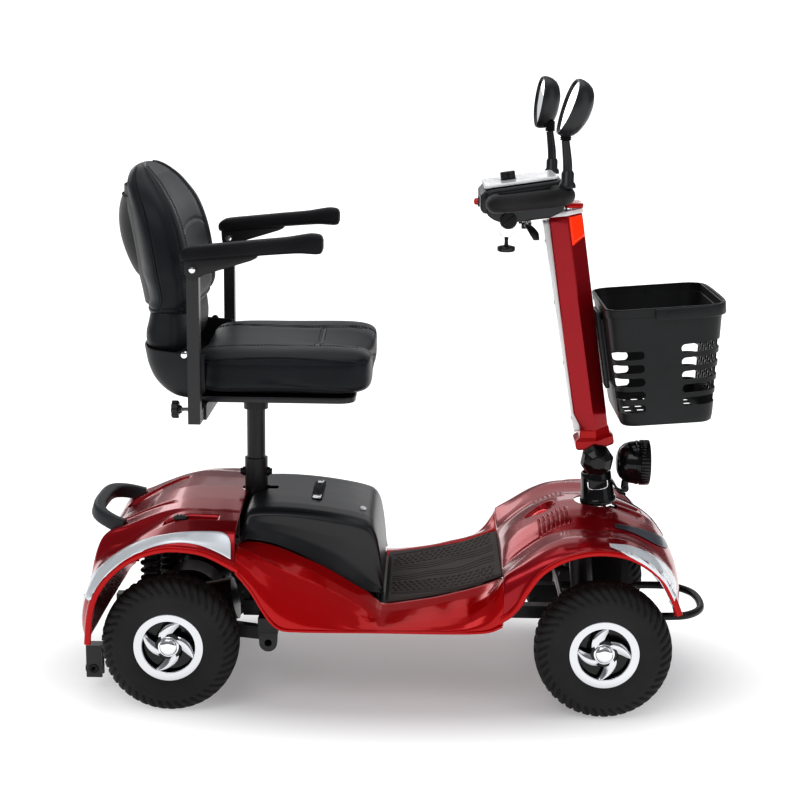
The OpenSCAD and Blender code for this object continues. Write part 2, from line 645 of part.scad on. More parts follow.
module seat_cushion() color([0.05, 0.05, 0.05]) {
  half = seat_w / 2;
  low = seat_z + 12;
  intersection() {
    side_form(-half, half) polygon([[-385, low], [-100, low], [-78, low + 8], [-63, low + 34], [-64, low + 66],
      [-80, seat_top - 4], [-110, seat_top], [-390, seat_top - 4], [-393, low + 20]]);
    front_form(-500, 0) polygon([[-half + 8, low], [half - 8, low], [half, low + 16], [half, seat_top - 16],
      [half - 14, seat_top], [14 - half, seat_top], [-half, seat_top - 16], [-half, low + 16]]);
    linear_extrude(900) polygon([[-392, 6 - half], [-392, half - 6], [-384, half], [-84, half], [-66, half - 16],
      [-63, half - 60], [-63, 60 - half], [-66, 16 - half], [-84, -half], [-384, -half]]);
  }
}

// Neck that nests in the seat shell, rear shell, and hinge pins into the seat shell's sides
module backrest_shell() color([0.09, 0.09, 0.09]) {
  cross_rod(fold[0], fold[1], 9 - seat_w / 2, seat_w / 2 - 9, fold_pin);
  intersection() {
    side_form(-200, 200) polygon([[-404, 684], [-400, 735], [-482, 742], [-512, 868], [-530, 950], [-524, 985],
      [-548, 962], [-556, 930], [-558, 903], [-546, 850], [-511, 753], [-486, 700], [-470, 660], [-420, 655]]);
    linear_extrude(1100) polygon([[-380, -200], [-516, -200], [-540, -160], [-554, -100], [-559, -40], [-559, 40],
      [-554, 100], [-540, 160], [-516, 200], [-380, 200]]);
  }
}

module backrest_cushion() color([0.05, 0.05, 0.05]) intersection() {
  side_form(-215, 215) polygon([[-399, 737], [-393, 752], [-392, 873], [-402, 925], [-430, 972], [-470, 998],
    [-505, 1004], [-522, 990], [-528, 950], [-510, 868], [-480, 744]]);
  front_form(-600, -300) polygon([[-185, 737], [185, 737], [205, 752], [215, 800], [210, 870], [196, 930],
    [165, 975], [110, 998], [50, 1004], [-50, 1004], [-110, 998], [-165, 975], [-196, 930], [-210, 870],
    [-215, 800], [-205, 752]]);
}

// Square tube sliding out of the seat base and rising to the armrest pivot
module armrest_post(s) color([0.06, 0.06, 0.06]) difference() {
  union() {
    block([-388, min(s * 90, s * (arm_y + 11)), 555], [-366, max(s * 90, s * (arm_y + 11)), 577]);
    block([-388, s * arm_y - 11, 555], [-366, s * arm_y + 11, 835]);
    cross_rod(flip[0], flip[1], s * arm_y - 11, s * arm_y + 11, 24);
  }
  cross_rod(flip[0], flip[1], s * arm_y - 20, s * arm_y + 20, 8 + 2 * run);
}

// Padded armrest: tapered steel bracket on the flip pivot, with the pad above it
module armrest(s) color([0.07, 0.07, 0.07]) {
  for (e = [-1, 1]) side_form(s * arm_y + e * 14 - 2, s * arm_y + e * 14 + 2)
    polygon([[-392, 822], [-368, 818], [-350, 824], [-272, 852], [-272, 860], [-392, 847]]);
  cross_rod(flip[0], flip[1], s * arm_y - 18, s * arm_y + 18, 8);
  intersection() {
    side_form(s * arm_y - 26, s * arm_y + 26) polygon([[-395, 848.4], [-272, 860.8], [-160, 868], [-146, 876],
      [-150, 894], [-170, 896], [-376, 874], [-392, 870], [-398, 860]]);
    linear_extrude(1200) translate([0, s * arm_y]) polygon([[-400, -20], [-400, 20], [-385, 26], [-160, 26],
      [-146, 14], [-146, -14], [-160, -26], [-385, -26]]);
  }
}

module armrest_knob(s) color([0.05, 0.05, 0.05]) translate([-420, s * 200, 566]) rotate([0, 90, 0]) {
  difference() {
    translate([0, 0, -10]) cylinder(h = 16, r = 15);
    for (a = [0 : 60 : 300]) rotate([0, 0, a]) translate([17, 0, -12]) cylinder(h = 20, r = 4);
  }
  cylinder(h = 30, r = 4);
}

// Moulded lid: a box with a flared foot that follows the sloping shell, notched at the seat post
module battery_cover() color([0.05, 0.05, 0.05]) {
  difference() {
    union() {
      intersection() {
        side_form(-158, 158) polygon([[-306, 316], [-249, 305], [-193, 281], [-137, 247], [-100, 222], [-60, 204],
          [-38, 202], [-36, 206], [-44, 300], [-54, 335], [-66, 346], [-120, 357], [-200, 368], [-268, 370],
          [-284, 366], [-300, 340]]);
        front_form(-320, 0) polygon([[-158, 190], [158, 190], [156, 250], [150, 340], [144, 354], [120, 366],
          [0, 372], [-120, 366], [-144, 354], [-150, 340], [-156, 250]]);
      }
      intersection() {
        side_form(-204, 204) polygon([[-308, 316], [-249, 305], [-193, 281], [-137, 247], [-100, 222], [-60, 204],
          [-38, 202], [-38, 212], [-60, 214], [-100, 232], [-137, 257], [-193, 291], [-249, 315], [-308, 327]]);
        linear_extrude(500) polygon([[-308, -204], [-240, -196], [-150, -174], [-37, -160], [-37, 160],
          [-150, 174], [-240, 196], [-308, 204]]);
      }
    }
    intersection() {
      side_form(-146, 146) polygon([[-302, 250], [-46, 150], [-52, 300], [-61, 331], [-71, 339], [-120, 350],
        [-200, 361], [-262, 363], [-278, 358], [-292, 330]]);
      front_form(-310, -30) polygon([[-146, 100], [146, 100], [144, 336], [138, 348], [116, 359], [0, 365],
        [-116, 359], [-138, 348], [-144, 336]]);
    }
    middle_form(-0.3);
    translate([post_x, 0, 150]) cylinder(h = 300, r = socket_r + 5);
    block([-400, -27.5, 150], [post_x, 27.5, 450]);
    block([post_x, -11, 300], [post_x + 36, 11, 450]);
    block([-320, -140, 180], [-262, 140, 316]);
  }
}

module battery_cells() color([0.25, 0.25, 0.27]) {
  block_pair([-252, 4, 172], [-116, 86, 330]);
}

rear_frame();
front_frame();
seat_post_socket();
front_bumper();
rear_grab_handle();
front_cowl();
footwell_shell();
rear_cowl();
foot_mat();
drive_unit();
rear_springs();
anti_tip_roller(-1);  // anti_tip_roller_right
anti_tip_roller(1);  // anti_tip_roller_left
freewheel_lever();
place_wheel(front_x, -1) tyre_form();  // tyre_front_right
place_wheel(front_x, 1) tyre_form();  // tyre_front_left
place_wheel(rear_x, -1) tyre_form();  // tyre_rear_right
place_wheel(rear_x, 1) tyre_form();  // tyre_rear_left
place_wheel(front_x, -1) rim_form();  // rim_front_right
place_wheel(front_x, 1) rim_form();  // rim_front_left
place_wheel(rear_x, -1) rim_form();  // rim_rear_right
place_wheel(rear_x, 1) rim_form();  // rim_rear_left
knuckle(-1);  // knuckle_right
knuckle(1);  // knuckle_left
tie_rod();
steering_column();
headlight();
tilt_knob();
tiller_tube();
tiller_cover();
tiller_rear_panel();
basket_bracket();
basket();
basket_handle();
console_housing();
dash_panel();
handlebar_loop();
throttle_lever();
horn_button();
speed_dial();
safety_key();
mirror_stem(-1);  // mirror_stem_right
mirror_stem(1);  // mirror_stem_left
mirror_head(-1);  // mirror_head_right
mirror_head(1);  // mirror_head_left
seat_post();
seat_base();
swivel_lever();
seat_shell();
seat_cushion();
backrest_shell();
backrest_cushion();
armrest_post(-1);  // armrest_post_right
armrest_post(1);  // armrest_post_left
armrest(-1);  // armrest_right
armrest(1);  // armrest_left
armrest_knob(-1);  // armrest_knob_right
armrest_knob(1);  // armrest_knob_left
battery_cover();
battery_cells();
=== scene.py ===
"""Looks of the mobility scooter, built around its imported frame. Shapes are in millimetres."""

import math

import bmesh
import bpy
import numpy as np
from mathutils import Matrix, Vector
from mathutils.bvhtree import BVHTree


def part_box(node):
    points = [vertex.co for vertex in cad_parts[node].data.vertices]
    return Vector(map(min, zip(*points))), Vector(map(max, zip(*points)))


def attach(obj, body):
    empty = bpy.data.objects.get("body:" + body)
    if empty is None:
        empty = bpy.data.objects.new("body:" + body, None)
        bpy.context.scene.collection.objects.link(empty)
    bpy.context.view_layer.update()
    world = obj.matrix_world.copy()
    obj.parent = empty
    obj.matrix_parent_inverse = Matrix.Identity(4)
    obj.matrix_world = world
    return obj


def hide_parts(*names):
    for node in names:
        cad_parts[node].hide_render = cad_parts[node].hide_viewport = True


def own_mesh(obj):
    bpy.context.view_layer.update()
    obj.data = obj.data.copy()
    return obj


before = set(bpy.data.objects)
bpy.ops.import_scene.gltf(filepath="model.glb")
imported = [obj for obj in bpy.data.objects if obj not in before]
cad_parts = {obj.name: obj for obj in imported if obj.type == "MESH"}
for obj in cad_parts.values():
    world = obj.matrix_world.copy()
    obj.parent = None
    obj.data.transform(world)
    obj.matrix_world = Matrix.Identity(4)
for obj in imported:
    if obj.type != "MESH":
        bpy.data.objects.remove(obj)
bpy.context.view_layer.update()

MM = 0.001
SIDES = {"right": -1, "left": 1}
POST_X = -295  # the seat post


# ---------------------------------------------------------------- shape tools

def spline(points, count, closed=False):
    """count points along a smooth curve through points, which may be rows of a grid."""
    p = np.array(points, float)
    if not closed:
        p = np.concatenate([[2 * p[0] - p[1]], p, [2 * p[-1] - p[-2]]])
    n = len(p)
    spans = n if closed else n - 3
    t = np.linspace(0, spans, count, endpoint=not closed)
    i = np.minimum(t.astype(int), spans - 1)
    f = (t - i).reshape([-1] + [1] * (p.ndim - 1))
    i = i if closed else i + 1
    a, b, c, d = (p[(i + k) % n] for k in (-1, 0, 1, 2))
    return b + (c - a) * f / 2 + (2 * a - 5 * b + 4 * c - d) * f**2 / 2 + (3 * b - a - 3 * c + d) * f**3 / 2


def even(points, count, closed=False):
    """count points spaced evenly by length along a smooth curve through points."""
    fine = spline(points, 40 * len(points), closed)
    if closed:
        fine = np.concatenate([fine, fine[:1]])
    far = np.concatenate([[0], np.cumsum(np.linalg.norm(np.diff(fine, axis=0), axis=1))])
    at = np.linspace(0, far[-1], count, endpoint=not closed)
    return np.stack([np.interp(at, far, fine[:, k]) for k in range(fine.shape[1])], 1)


def skin(grid, around=False, caps=False, wrap=False):
    """Vertices and faces over a grid of points. around closes each row, wrap closes the columns."""
    rows, cols = grid.shape[:2]
    faces = []
    for r in range(rows if wrap else rows - 1):
        for c in range(cols if around else cols - 1):
            r1, c1 = (r + 1) % rows, (c + 1) % cols
            faces.append((r * cols + c, r * cols + c1, r1 * cols + c1, r1 * cols + c))
    if caps:
        faces += [tuple(reversed(range(cols))), tuple(range((rows - 1) * cols, rows * cols))]
    return grid.reshape(-1, 3), faces


def merge(*parts):
    """Several vertex and face lists as one."""
    verts, faces, base = [], [], 0
    for v, f in parts:
        verts.append(np.asarray(v, float))
        faces += [tuple(i + base for i in face) for face in f]
        base += len(v)
    return np.concatenate(verts), faces


def shift(x, y, z):
    """A matrix that moves by x, y and z."""
    return Matrix.Translation((x, y, z))


def spin(degrees, axis):
    """A matrix that turns about one axis."""
    return Matrix.Rotation(math.radians(degrees), 4, axis)


def circle(count):
    """count angles spaced evenly over a full turn."""
    return np.linspace(0, 2 * math.pi, count, endpoint=False)


def moved(part, matrix):
    """The part with its points put through a 4x4 matrix."""
    m = np.array(matrix, float)
    return part[0] @ m[:3, :3].T + m[:3, 3], part[1]


def flipped(part):
    """The part mirrored to the other side of the middle plane."""
    return part[0] * [1, -1, 1], [tuple(reversed(f)) for f in part[1]]


def round_trip(points):
    """Points that end on the middle plane, carried on over to the other side."""
    return points + [(x, -y, z) for x, y, z in points[-2::-1]]


def both(part):
    """The part and its mirror image."""
    return merge(part, flipped(part))


def axes_along(path):
    """Two directions square to the path at each of its points, carried along without twist."""
    t = np.gradient(path, axis=0)
    t /= np.linalg.norm(t, axis=1)[:, None]
    side = np.cross(t[0], [0, 0, 1] if abs(t[0][2]) < 0.9 else [1, 0, 0])
    out = []
    for d in t:
        side = side - d * (side @ d)
        side /= np.linalg.norm(side)
        out.append((side, np.cross(side, d)))
    return np.array([s for s, _ in out]), np.array([u for _, u in out])


def tube(points, radius, sides=16, count=None, section=None, caps=True):
    """A bar swept along points. radius is one number or one per point; section is its outline at radius 1."""
    path = even(points, count) if count else np.array(points, float)
    side, up = axes_along(path)
    if section is None:
        a = circle(sides)
        section = np.stack([np.cos(a), np.sin(a)], 1)
    section = np.array(section, float)
    r = np.interp(np.linspace(0, 1, len(path)), np.linspace(0, 1, np.size(radius)), np.ravel(radius))
    grid = path[:, None] + r[:, None, None] * (
        section[None, :, :1] * side[:, None] + section[None, :, 1:] * up[:, None])
    return skin(grid, around=True, caps=caps)


def turned(profile, sides=64, start=0.0, ring=False):
    """A profile of (radius, height) points turned about Z. ring joins the last point to the first."""
    a = start + circle(sides)
    p = np.array(profile, float)
    grid = np.stack([p[:, :1] * np.cos(a), p[:, :1] * np.sin(a), np.repeat(p[:, 1:], sides, 1)], 2)
    return skin(grid, around=True, caps=not ring, wrap=ring)


def round_box(w, d, r, n=5):
    """Outline of a w x d rectangle with corners of radius r."""
    a = np.linspace(0, math.pi / 2, n)
    out = []
    for k, (sx, sy) in enumerate([(1, 1), (-1, 1), (-1, -1), (1, -1)]):
        b = a + k * math.pi / 2
        out.append(np.stack([sx * (w / 2 - r) + r * np.cos(b), sy * (d / 2 - r) + r * np.sin(b)], 1))
    return np.concatenate(out)


def slab(outline, z0, z1, edge=0.0, steps=3):
    """An outline raised from z0 to z1 with its two rims rounded by edge."""
    o = np.array(outline, float)
    n = np.roll(o, -1, 0) - np.roll(o, 1, 0)
    n = np.stack([n[:, 1], -n[:, 0]], 1) / (np.linalg.norm(n, axis=1)[:, None] + 1e-9)
    rows = []
    if edge:
        a = np.linspace(0, math.pi / 2, steps + 1)
        levels = [(z0 + edge * (1 - math.sin(b)), edge * (1 - math.cos(b))) for b in a[::-1]]
        levels += [(z1 - edge * (1 - math.sin(b)), edge * (1 - math.cos(b))) for b in a]
    else:
        levels = [(z0, 0), (z1, 0)]
    for z, inset in levels:
        rows.append(np.c_[o - n * inset, np.full(len(o), z)])
    return skin(np.array(rows), around=True, caps=True)


def stood_up(part, y=0.0):
    """A slab turned so that its outline is (x, z) and its thickness runs along y."""
    points, faces = part
    return np.c_[points[:, 0], y + points[:, 2], points[:, 1]], faces


def facing(direction, origin=(0, 0, 0), up=(0, 0, 1)):
    """A matrix whose Z looks along direction and whose Y is near up."""
    z = Vector(direction).normalized()
    x = Vector(up).cross(z).normalized()
    m = Matrix((x, z.cross(x), z)).transposed().to_4x4()
    m.translation = origin
    return m


def lean(x, z, degrees):
    """A frame at (x, z) whose Z leans rearwards by degrees."""
    return shift(x, 0, z) @ spin(-degrees, "Y")


def shown(name, data):
    """A mesh as an object in the scene."""
    obj = bpy.data.objects.new(name, data)
    bpy.context.scene.collection.objects.link(obj)
    return obj


def mesh_of(name, part):
    """The part's vertices and faces as a mesh in metres."""
    data = bpy.data.meshes.new(name)
    data.from_pydata([tuple(v) for v in np.asarray(part[0]) * MM], [], [tuple(map(int, f)) for f in part[1]])
    return data


def piece(name, part, body, finish, slot=None, replaces=(), smooth=40):
    """One named mesh that rides on a CAD body. slot is not used: the slot it picks, the finish's own unless
    another is given, is kept nowhere.
    """
    data = mesh_of(name, part)
    work = bmesh.new()
    work.from_mesh(data)
    bmesh.ops.remove_doubles(work, verts=work.verts, dist=2e-6)
    work.to_mesh(data)
    work.free()
    data.materials.append(LOOKS[finish])
    data.shade_smooth()
    data.set_sharp_from_angle(angle=math.radians(smooth))
    obj = shown(name, data)
    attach(obj, body)
    slot = slot or SLOTS[finish]
    if replaces:
        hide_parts(*replaces)
    return obj


def outward(obj):
    """Turns every face of a closed mesh outwards."""
    work = bmesh.new()
    work.from_mesh(obj.data)
    bmesh.ops.recalc_face_normals(work, faces=work.faces)
    work.to_mesh(obj.data)
    work.free()
    return obj


def solid(*facts, **more):
    """A closed piece, with its faces turned outwards."""
    return outward(piece(*facts, **more))


def thicken(obj, thickness, offset=-1.0):
    """Gives an open sheet a wall of that many millimetres."""
    m = obj.modifiers.new("wall", "SOLIDIFY")
    m.thickness, m.offset = thickness * MM, offset
    m.use_even_offset = False
    return obj


def bevel(obj, width, segments=3, angle=35):
    """Rounds the sharp edges."""
    m = obj.modifiers.new("edges", "BEVEL")
    m.width = width * MM
    m.segments = segments
    m.limit_method = "ANGLE"
    m.angle_limit = math.radians(angle)
    m.harden_normals = False
    return obj


def apply(obj):
    """Makes the modifiers part of the mesh."""
    graph = bpy.context.evaluated_depsgraph_get()
    data = bpy.data.meshes.new_from_object(obj.evaluated_get(graph))
    obj.modifiers.clear()
    obj.data = data
    return obj


def cut(obj, part):
    """Takes a closed part away from the piece."""
    tool = outward(shown("cutter", mesh_of("cutter", part)))
    m = obj.modifiers.new("cut", "BOOLEAN")
    m.operation = "DIFFERENCE"
    m.solver = "EXACT"
    m.object = tool
    apply(obj)
    bpy.data.objects.remove(tool)
    return obj


def landing(tree, start, direction, point, lift):
    """Where a ray meets a surface, or else the surface's place nearest to point, lifted off it."""
    hit, normal, _, _ = tree.ray_cast(start, direction)
    if hit is None:
        hit, normal, _, _ = tree.find_nearest(Vector(point) * MM)
    normal = normal if normal.dot(direction) < 0 else -normal
    return np.array(hit) / MM + np.array(normal) * lift


def surface(target):
    """The target's shape, to send rays at."""
    return BVHTree.FromObject(target, bpy.context.evaluated_depsgraph_get())


def onto(target, points, direction, lift=0.0):
    """Points moved along direction onto the target's surface, then lifted off it along its normal."""
    tree, d = surface(target), Vector(direction).normalized()
    out = [landing(tree, Vector(p) * MM - d, d, p, lift) for p in np.asarray(points, float).reshape(-1, 3)]
    return np.array(out).reshape(np.shape(points))


def between(top, bottom, rows, cols):
    """A grid of points that fills the space between two curves."""
    a, b = even(top, cols), even(bottom, cols)
    f = np.linspace(0, 1, rows)[:, None, None]
    return a[None] * (1 - f) + b[None] * f


def side_points(pairs, y):
    """(x, z) pairs as points at one y."""
    return np.array([(x, y, z) for x, z in pairs], float)


def loft(lines, rows, cols, soften=0.0):
    """A grid across lines that share their stations. soften rounds the creases over that many rows."""
    dense = np.array([spline(line, cols) for line in lines])
    step = np.linalg.norm(np.diff(dense, axis=0), axis=2).mean(axis=1)
    at = np.concatenate([[0], np.cumsum(step)])
    want = np.linspace(0, at[-1], rows)
    i = np.clip(np.searchsorted(at, want, side="right") - 1, 0, len(lines) - 2)
    f = ((want - at[i]) / (at[i + 1] - at[i]))[:, None, None]
    grid = dense[i] * (1 - f) + dense[i + 1] * f
    if soften:
        n = int(3 * soften) + 1
        k = np.exp(-0.5 * (np.arange(-n, n + 1) / soften) ** 2)
        wide = np.concatenate([2 * grid[:1] - grid[n:0:-1], grid, 2 * grid[-1:] - grid[-2:-n - 2:-1]])
        grid = sum(w * wide[j:j + rows] for j, w in enumerate(k / k.sum()))
    return grid


def mirrored(lines, ys):
    """Side-view lines of (x, z), each at its distance from the middle plane, laid from side to side."""
    half = [np.array([(x, y, z) for x, z in line], float) for line, y in zip(lines, ys)]
    return [line * [1, -1, 1] for line in half[::-1]] + (half[1:] if ys[0] == 0 else half)


def normals(grid):
    """The unit normal at each point of a grid, on the side its faces look."""
    n = np.cross(np.gradient(grid, axis=1), np.gradient(grid, axis=0))
    return n / (np.linalg.norm(n, axis=2)[:, :, None] + 1e-9)


def ramp(value, start, width):
    """0 before start, 1 after start + width, smooth between."""
    t = np.clip((value - start) / width, 0, 1)
    return t * t * (3 - 2 * t)


def hump(value, width):
    """A smooth bump: 1 where value is 0, nearly gone at twice the width."""
    return np.exp(-((value / width) ** 2))


def inside(value, low, high, width):
    """1 between low and high, 0 outside."""
    return ramp(value, low - width, width) * (1 - ramp(value, high, width))


def away(curve, distance):
    """An (x, z) curve moved sideways to its left by distance."""
    c = np.array(curve, float)
    t = np.gradient(c, axis=0)
    t /= np.linalg.norm(t, axis=1)[:, None]
    return c + distance * np.stack([-t[:, 1], t[:, 0]], 1)


def band(curve, section, count=120):
    """A strip along a side-view curve. section holds (y, distance to the left of the curve)."""
    c = even(curve, count)
    rows = [np.c_[away(c, d)[:, 0], np.full(count, y), away(c, d)[:, 1]] for y, d in section]
    return skin(np.array(rows))


EYE = Vector((39.7, -3170.9, 1196.6))  # where the camera stands


def seen(target, grid, lift):
    """Points laid on the target along the line of sight from the near side, then lifted off it."""
    tree = surface(target)
    out = [landing(tree, EYE * MM, (Vector(p) - EYE).normalized(), p, lift) for p in grid.reshape(-1, 3)]
    return np.array(out).reshape(grid.shape)


def trim(name, target, top, bottom, y, finish):
    """A thin trim on both sides of the target, laid between two side-view curves at y on the near side."""
    rows, cols, lift, wall = 12, 70, 0.9, 1.4
    grid = seen(target, between(side_points(top, y), side_points(bottom, y), rows, cols), lift)
    thicken(piece(name, both(skin(grid)), "chassis", finish), wall)


# ---------------------------------------------------------------- materials

LOOKS = {}
SLOTS = {}
COAT_SHARE = 0.3


def node(tree, kind, **values):
    """A shader node with the given inputs and settings."""
    n = tree.nodes.new(kind)
    for key, value in values.items():
        if key in n.inputs:
            n.inputs[key].default_value = value
        else:
            setattr(n, key, value)
    return n


def look(name, slot, color, rough, metal=0.0, coat=0.0, grain=0.0, grain_size=900.0, spread=0.12,
         rough_spread=0.08, kind="noise", wear=0.0, specular=0.3, transmission=0.0, ior=1.5, emission=0.0,
         sheen=0.0):
    """A procedural finish: colour that varies a little, a grain in the bump and an uneven gloss."""
    mat = bpy.data.materials.new(name)
    mat.use_nodes = True
    tree = mat.node_tree
    link = tree.links.new
    shader = tree.nodes["Principled BSDF"]
    for key, value in {"Metallic": metal, "Coat Weight": coat * COAT_SHARE, "Coat Roughness": 0.03,
                       "Specular IOR Level": specular, "Transmission Weight": transmission, "IOR": ior,
                       "Sheen Weight": sheen}.items():
        shader.inputs[key].default_value = value
    # a glow in the finish's own colour: painted light, given only to the lenses, which are no lamps
    if emission:
        shader.inputs["Emission Color"].default_value = (*color, 1)
        shader.inputs["Emission Strength"].default_value = emission
    place = node(tree, "ShaderNodeTexCoord").outputs["Object"]
    broad = node(tree, "ShaderNodeTexNoise", Scale=7.0, Detail=6.0, Roughness=0.6)
    link(place, broad.inputs["Vector"])
    tint = node(tree, "ShaderNodeValToRGB")
    low, high = tint.color_ramp.elements
    low.position, low.color = 0.35, (*(c * (1 - spread) for c in color), 1)
    high.position, high.color = 0.65, (*(min(1, c * (1 + spread) + spread * 0.01) for c in color), 1)
    link(broad.outputs["Fac"], tint.inputs["Fac"])
    base = tint.outputs["Color"]
    if wear:
        # lighter along the edges
        worn = node(tree, "ShaderNodeMapRange", **{"From Min": 0.52, "From Max": 0.62, "To Max": wear})
        link(node(tree, "ShaderNodeNewGeometry").outputs["Pointiness"], worn.inputs["Value"])
        mixed = node(tree, "ShaderNodeMix", data_type="RGBA")
        link(worn.outputs["Result"], mixed.inputs["Factor"])
        link(base, mixed.inputs["A"])
        mixed.inputs["B"].default_value = (*(min(1, c * 1.6 + 0.05) for c in color), 1)
        base = mixed.outputs["Result"]
    link(base, shader.inputs["Base Color"])
    gloss = node(tree, "ShaderNodeMapRange",
                 **{"To Min": max(0.0, rough - rough_spread / 2), "To Max": rough + rough_spread / 2})
    link(broad.outputs["Fac"], gloss.inputs["Value"])
    link(gloss.outputs["Result"], shader.inputs["Roughness"])
    if grain:
        if kind == "noise":
            fine = node(tree, "ShaderNodeTexNoise", Scale=grain_size, Detail=3.0, Roughness=0.55)
        elif kind == "leather":
            fine = node(tree, "ShaderNodeTexVoronoi", Scale=grain_size, feature="DISTANCE_TO_EDGE")
        else:
            fine = node(tree, "ShaderNodeTexVoronoi", Scale=grain_size)
        if kind == "brushed":
            stretch = node(tree, "ShaderNodeMapping", Scale=(1, 1, 40))
            link(place, stretch.inputs["Vector"])
            link(stretch.outputs["Vector"], fine.inputs["Vector"])
        else:
            link(place, fine.inputs["Vector"])
        bump = node(tree, "ShaderNodeBump", Strength=1.0, Distance=grain * MM)
        link(fine.outputs["Fac" if kind == "noise" else "Distance"], bump.inputs["Height"])
        link(bump.outputs["Normal"], shader.inputs["Normal"])
    LOOKS[name], SLOTS[name] = mat, slot
    return mat


look("red_paint", "red_gloss", (0.34, 0.003, 0.01), 0.22, metal=0.5, specular=0.25, coat=1.0,
     spread=0.06, rough_spread=0.04, grain=0.012, grain_size=1400)
# the red paint again, made lighter and redder: painted light standing in for the direct light on the lower
# skirt; the lips, the tiller collar and the cap use it too
look("bright_red", "red_gloss", (0.46, 0.001, 0.003), 0.2, metal=0.3, specular=0.15, coat=1.0,
     spread=0.05, grain=0.01, grain_size=1200)
look("silver_paint", "white_gloss", (0.78, 0.82, 0.86), 0.3, metal=0.3, coat=0.8, spread=0.05,
     grain=0.01, grain_size=2200)
look("grey_stripe", "grey_plastic", (0.09, 0.1, 0.12), 0.3, metal=0.5, coat=0.8, grain=0.01, grain_size=2000)
look("white_paint", "white_gloss", (0.93, 0.935, 0.945), 0.22, coat=0.9, spread=0.03, grain=0.01,
     grain_size=1500)
look("satin_plastic", "black_plastic", (0.012, 0.013, 0.015), 0.34, grain=0.02, grain_size=1800,
     spread=0.2, specular=0.5)
look("grained_plastic", "textured_plastic", (0.014, 0.015, 0.017), 0.46, grain=0.09, grain_size=700,
     spread=0.25, kind="voronoi")
look("basket_plastic", "textured_plastic", (0.013, 0.014, 0.015), 0.42, grain=0.05, grain_size=900,
     spread=0.2)
look("powder_black", "black_steel", (0.01, 0.01, 0.011), 0.36, grain=0.05, grain_size=1500, spread=0.2,
     wear=0.5, coat=0.2)
look("gloss_black", "black_gloss", (0.006, 0.006, 0.007), 0.12, coat=0.6, grain=0.01, grain_size=800,
     spread=0.2)
look("handle_grey", "black_plastic", (0.035, 0.037, 0.041), 0.45, grain=0.04, grain_size=1300, spread=0.1)
look("leather", "black_leather", (0.011, 0.013, 0.016), 0.42, specular=0.2, grain=0.1, grain_size=620,
     kind="leather", spread=0.2, sheen=0.04)
look("leather_insert", "black_leather", (0.014, 0.016, 0.019), 0.48, specular=0.2, grain=0.1,
     grain_size=620, kind="leather", spread=0.2, sheen=0.04)
look("thread", "black_leather", (0.03, 0.03, 0.032), 0.7, grain=0.1, grain_size=2500, spread=0.3)
look("pad_foam", "soft_pad", (0.011, 0.011, 0.013), 0.55, specular=0.15, grain=0.05, grain_size=1000,
     spread=0.2)
look("foam", "foam_grip", (0.012, 0.012, 0.013), 0.6, grain=0.35, grain_size=520, spread=0.35)
look("tyre", "tyre_rubber", (0.016, 0.015, 0.015), 0.62, grain=0.08, grain_size=800, spread=0.3,
     rough_spread=0.15, wear=0.35)
look("mat", "mat_rubber", (0.06, 0.048, 0.044), 0.62, grain=0.12, grain_size=900, spread=0.15)
look("rubber", "black_rubber", (0.012, 0.012, 0.012), 0.55, grain=0.1, grain_size=900, spread=0.3)
look("chrome", "chrome", (0.82, 0.83, 0.85), 0.05, metal=1.0, spread=0.03, rough_spread=0.04,
     grain=0.004, grain_size=300)
look("polished", "cast_alloy", (0.66, 0.67, 0.69), 0.13, metal=1.0, spread=0.04, rough_spread=0.06,
     grain=0.01, grain_size=1500, kind="brushed")
look("zinc", "zinc_steel", (0.6, 0.61, 0.6), 0.3, metal=1.0, spread=0.1, rough_spread=0.12,
     grain=0.03, grain_size=900)
# the red and amber lenses glow a little: painted light standing in for the light their reflectors send back
look("red_lens", "red_plastic", (0.75, 0.0, 0.004), 0.1, coat=1.0, transmission=0.35, emission=0.35,
     grain=0.05, grain_size=350, kind="voronoi")
look("amber_lens", "red_plastic", (0.85, 0.045, 0.0), 0.14, coat=1.0, transmission=0.25, emission=0.3,
     grain=0.25, grain_size=330, kind="voronoi")
look("red_button", "red_plastic", (0.7, 0.005, 0.006), 0.18, coat=0.8, grain=0.01, grain_size=900)
look("clear", "white_gloss", (0.95, 0.97, 1.0), 0.05, transmission=0.95, ior=1.46, grain=0.01, grain_size=300)
look("mirror", "chrome", (0.93, 0.94, 0.95), 0.015, metal=1.0, spread=0.01, rough_spread=0.01,
     grain=0.001, grain_size=60)
look("webbing", "black_leather", (0.012, 0.012, 0.013), 0.7, grain=0.3, grain_size=900, kind="brushed",
     spread=0.3)
look("mesh_cloth", "black_leather", (0.01, 0.01, 0.011), 0.85, grain=0.3, grain_size=1100, spread=0.3,
     sheen=0.3)
look("battery_grey", "grey_plastic", (0.05, 0.05, 0.055), 0.5, grain=0.04, grain_size=900)

CAD_LOOKS = {
    "rear_frame": "powder_black", "front_frame": "powder_black", "seat_post_socket": "powder_black",
    "drive_unit": "powder_black", "knuckle_right": "powder_black", "knuckle_left": "powder_black",
    "tie_rod": "zinc", "tiller_tube": "chrome", "seat_post": "powder_black", "seat_base": "powder_black",
    "swivel_lever": "powder_black", "armrest_post_right": "powder_black", "armrest_post_left": "powder_black",
    "battery_cells": "battery_grey",
}


# ---------------------------------------------------------------- stage

def make_camera():
    """The camera, from the viewing angle: slightly above and almost square to the right side."""
    yaw, pitch, roll = 0.0165, 0.2015, 0.0117
    ahead = Vector((-math.sin(yaw) * math.cos(pitch), math.cos(yaw) * math.cos(pitch), -math.sin(pitch)))
    right = Vector((math.cos(yaw), math.sin(yaw), 0))
    up = right.cross(ahead)
    side = right * math.cos(roll) + up * math.sin(roll)
    top = up * math.cos(roll) - right * math.sin(roll)
    data = bpy.data.cameras.new("camera")
    data.sensor_width, data.lens = 36.0, 74.4
    camera = shown("camera", data)
    camera.matrix_world = Matrix((side, top, -ahead)).transposed().to_4x4()
    camera.location = EYE * MM
    bpy.context.scene.camera = camera


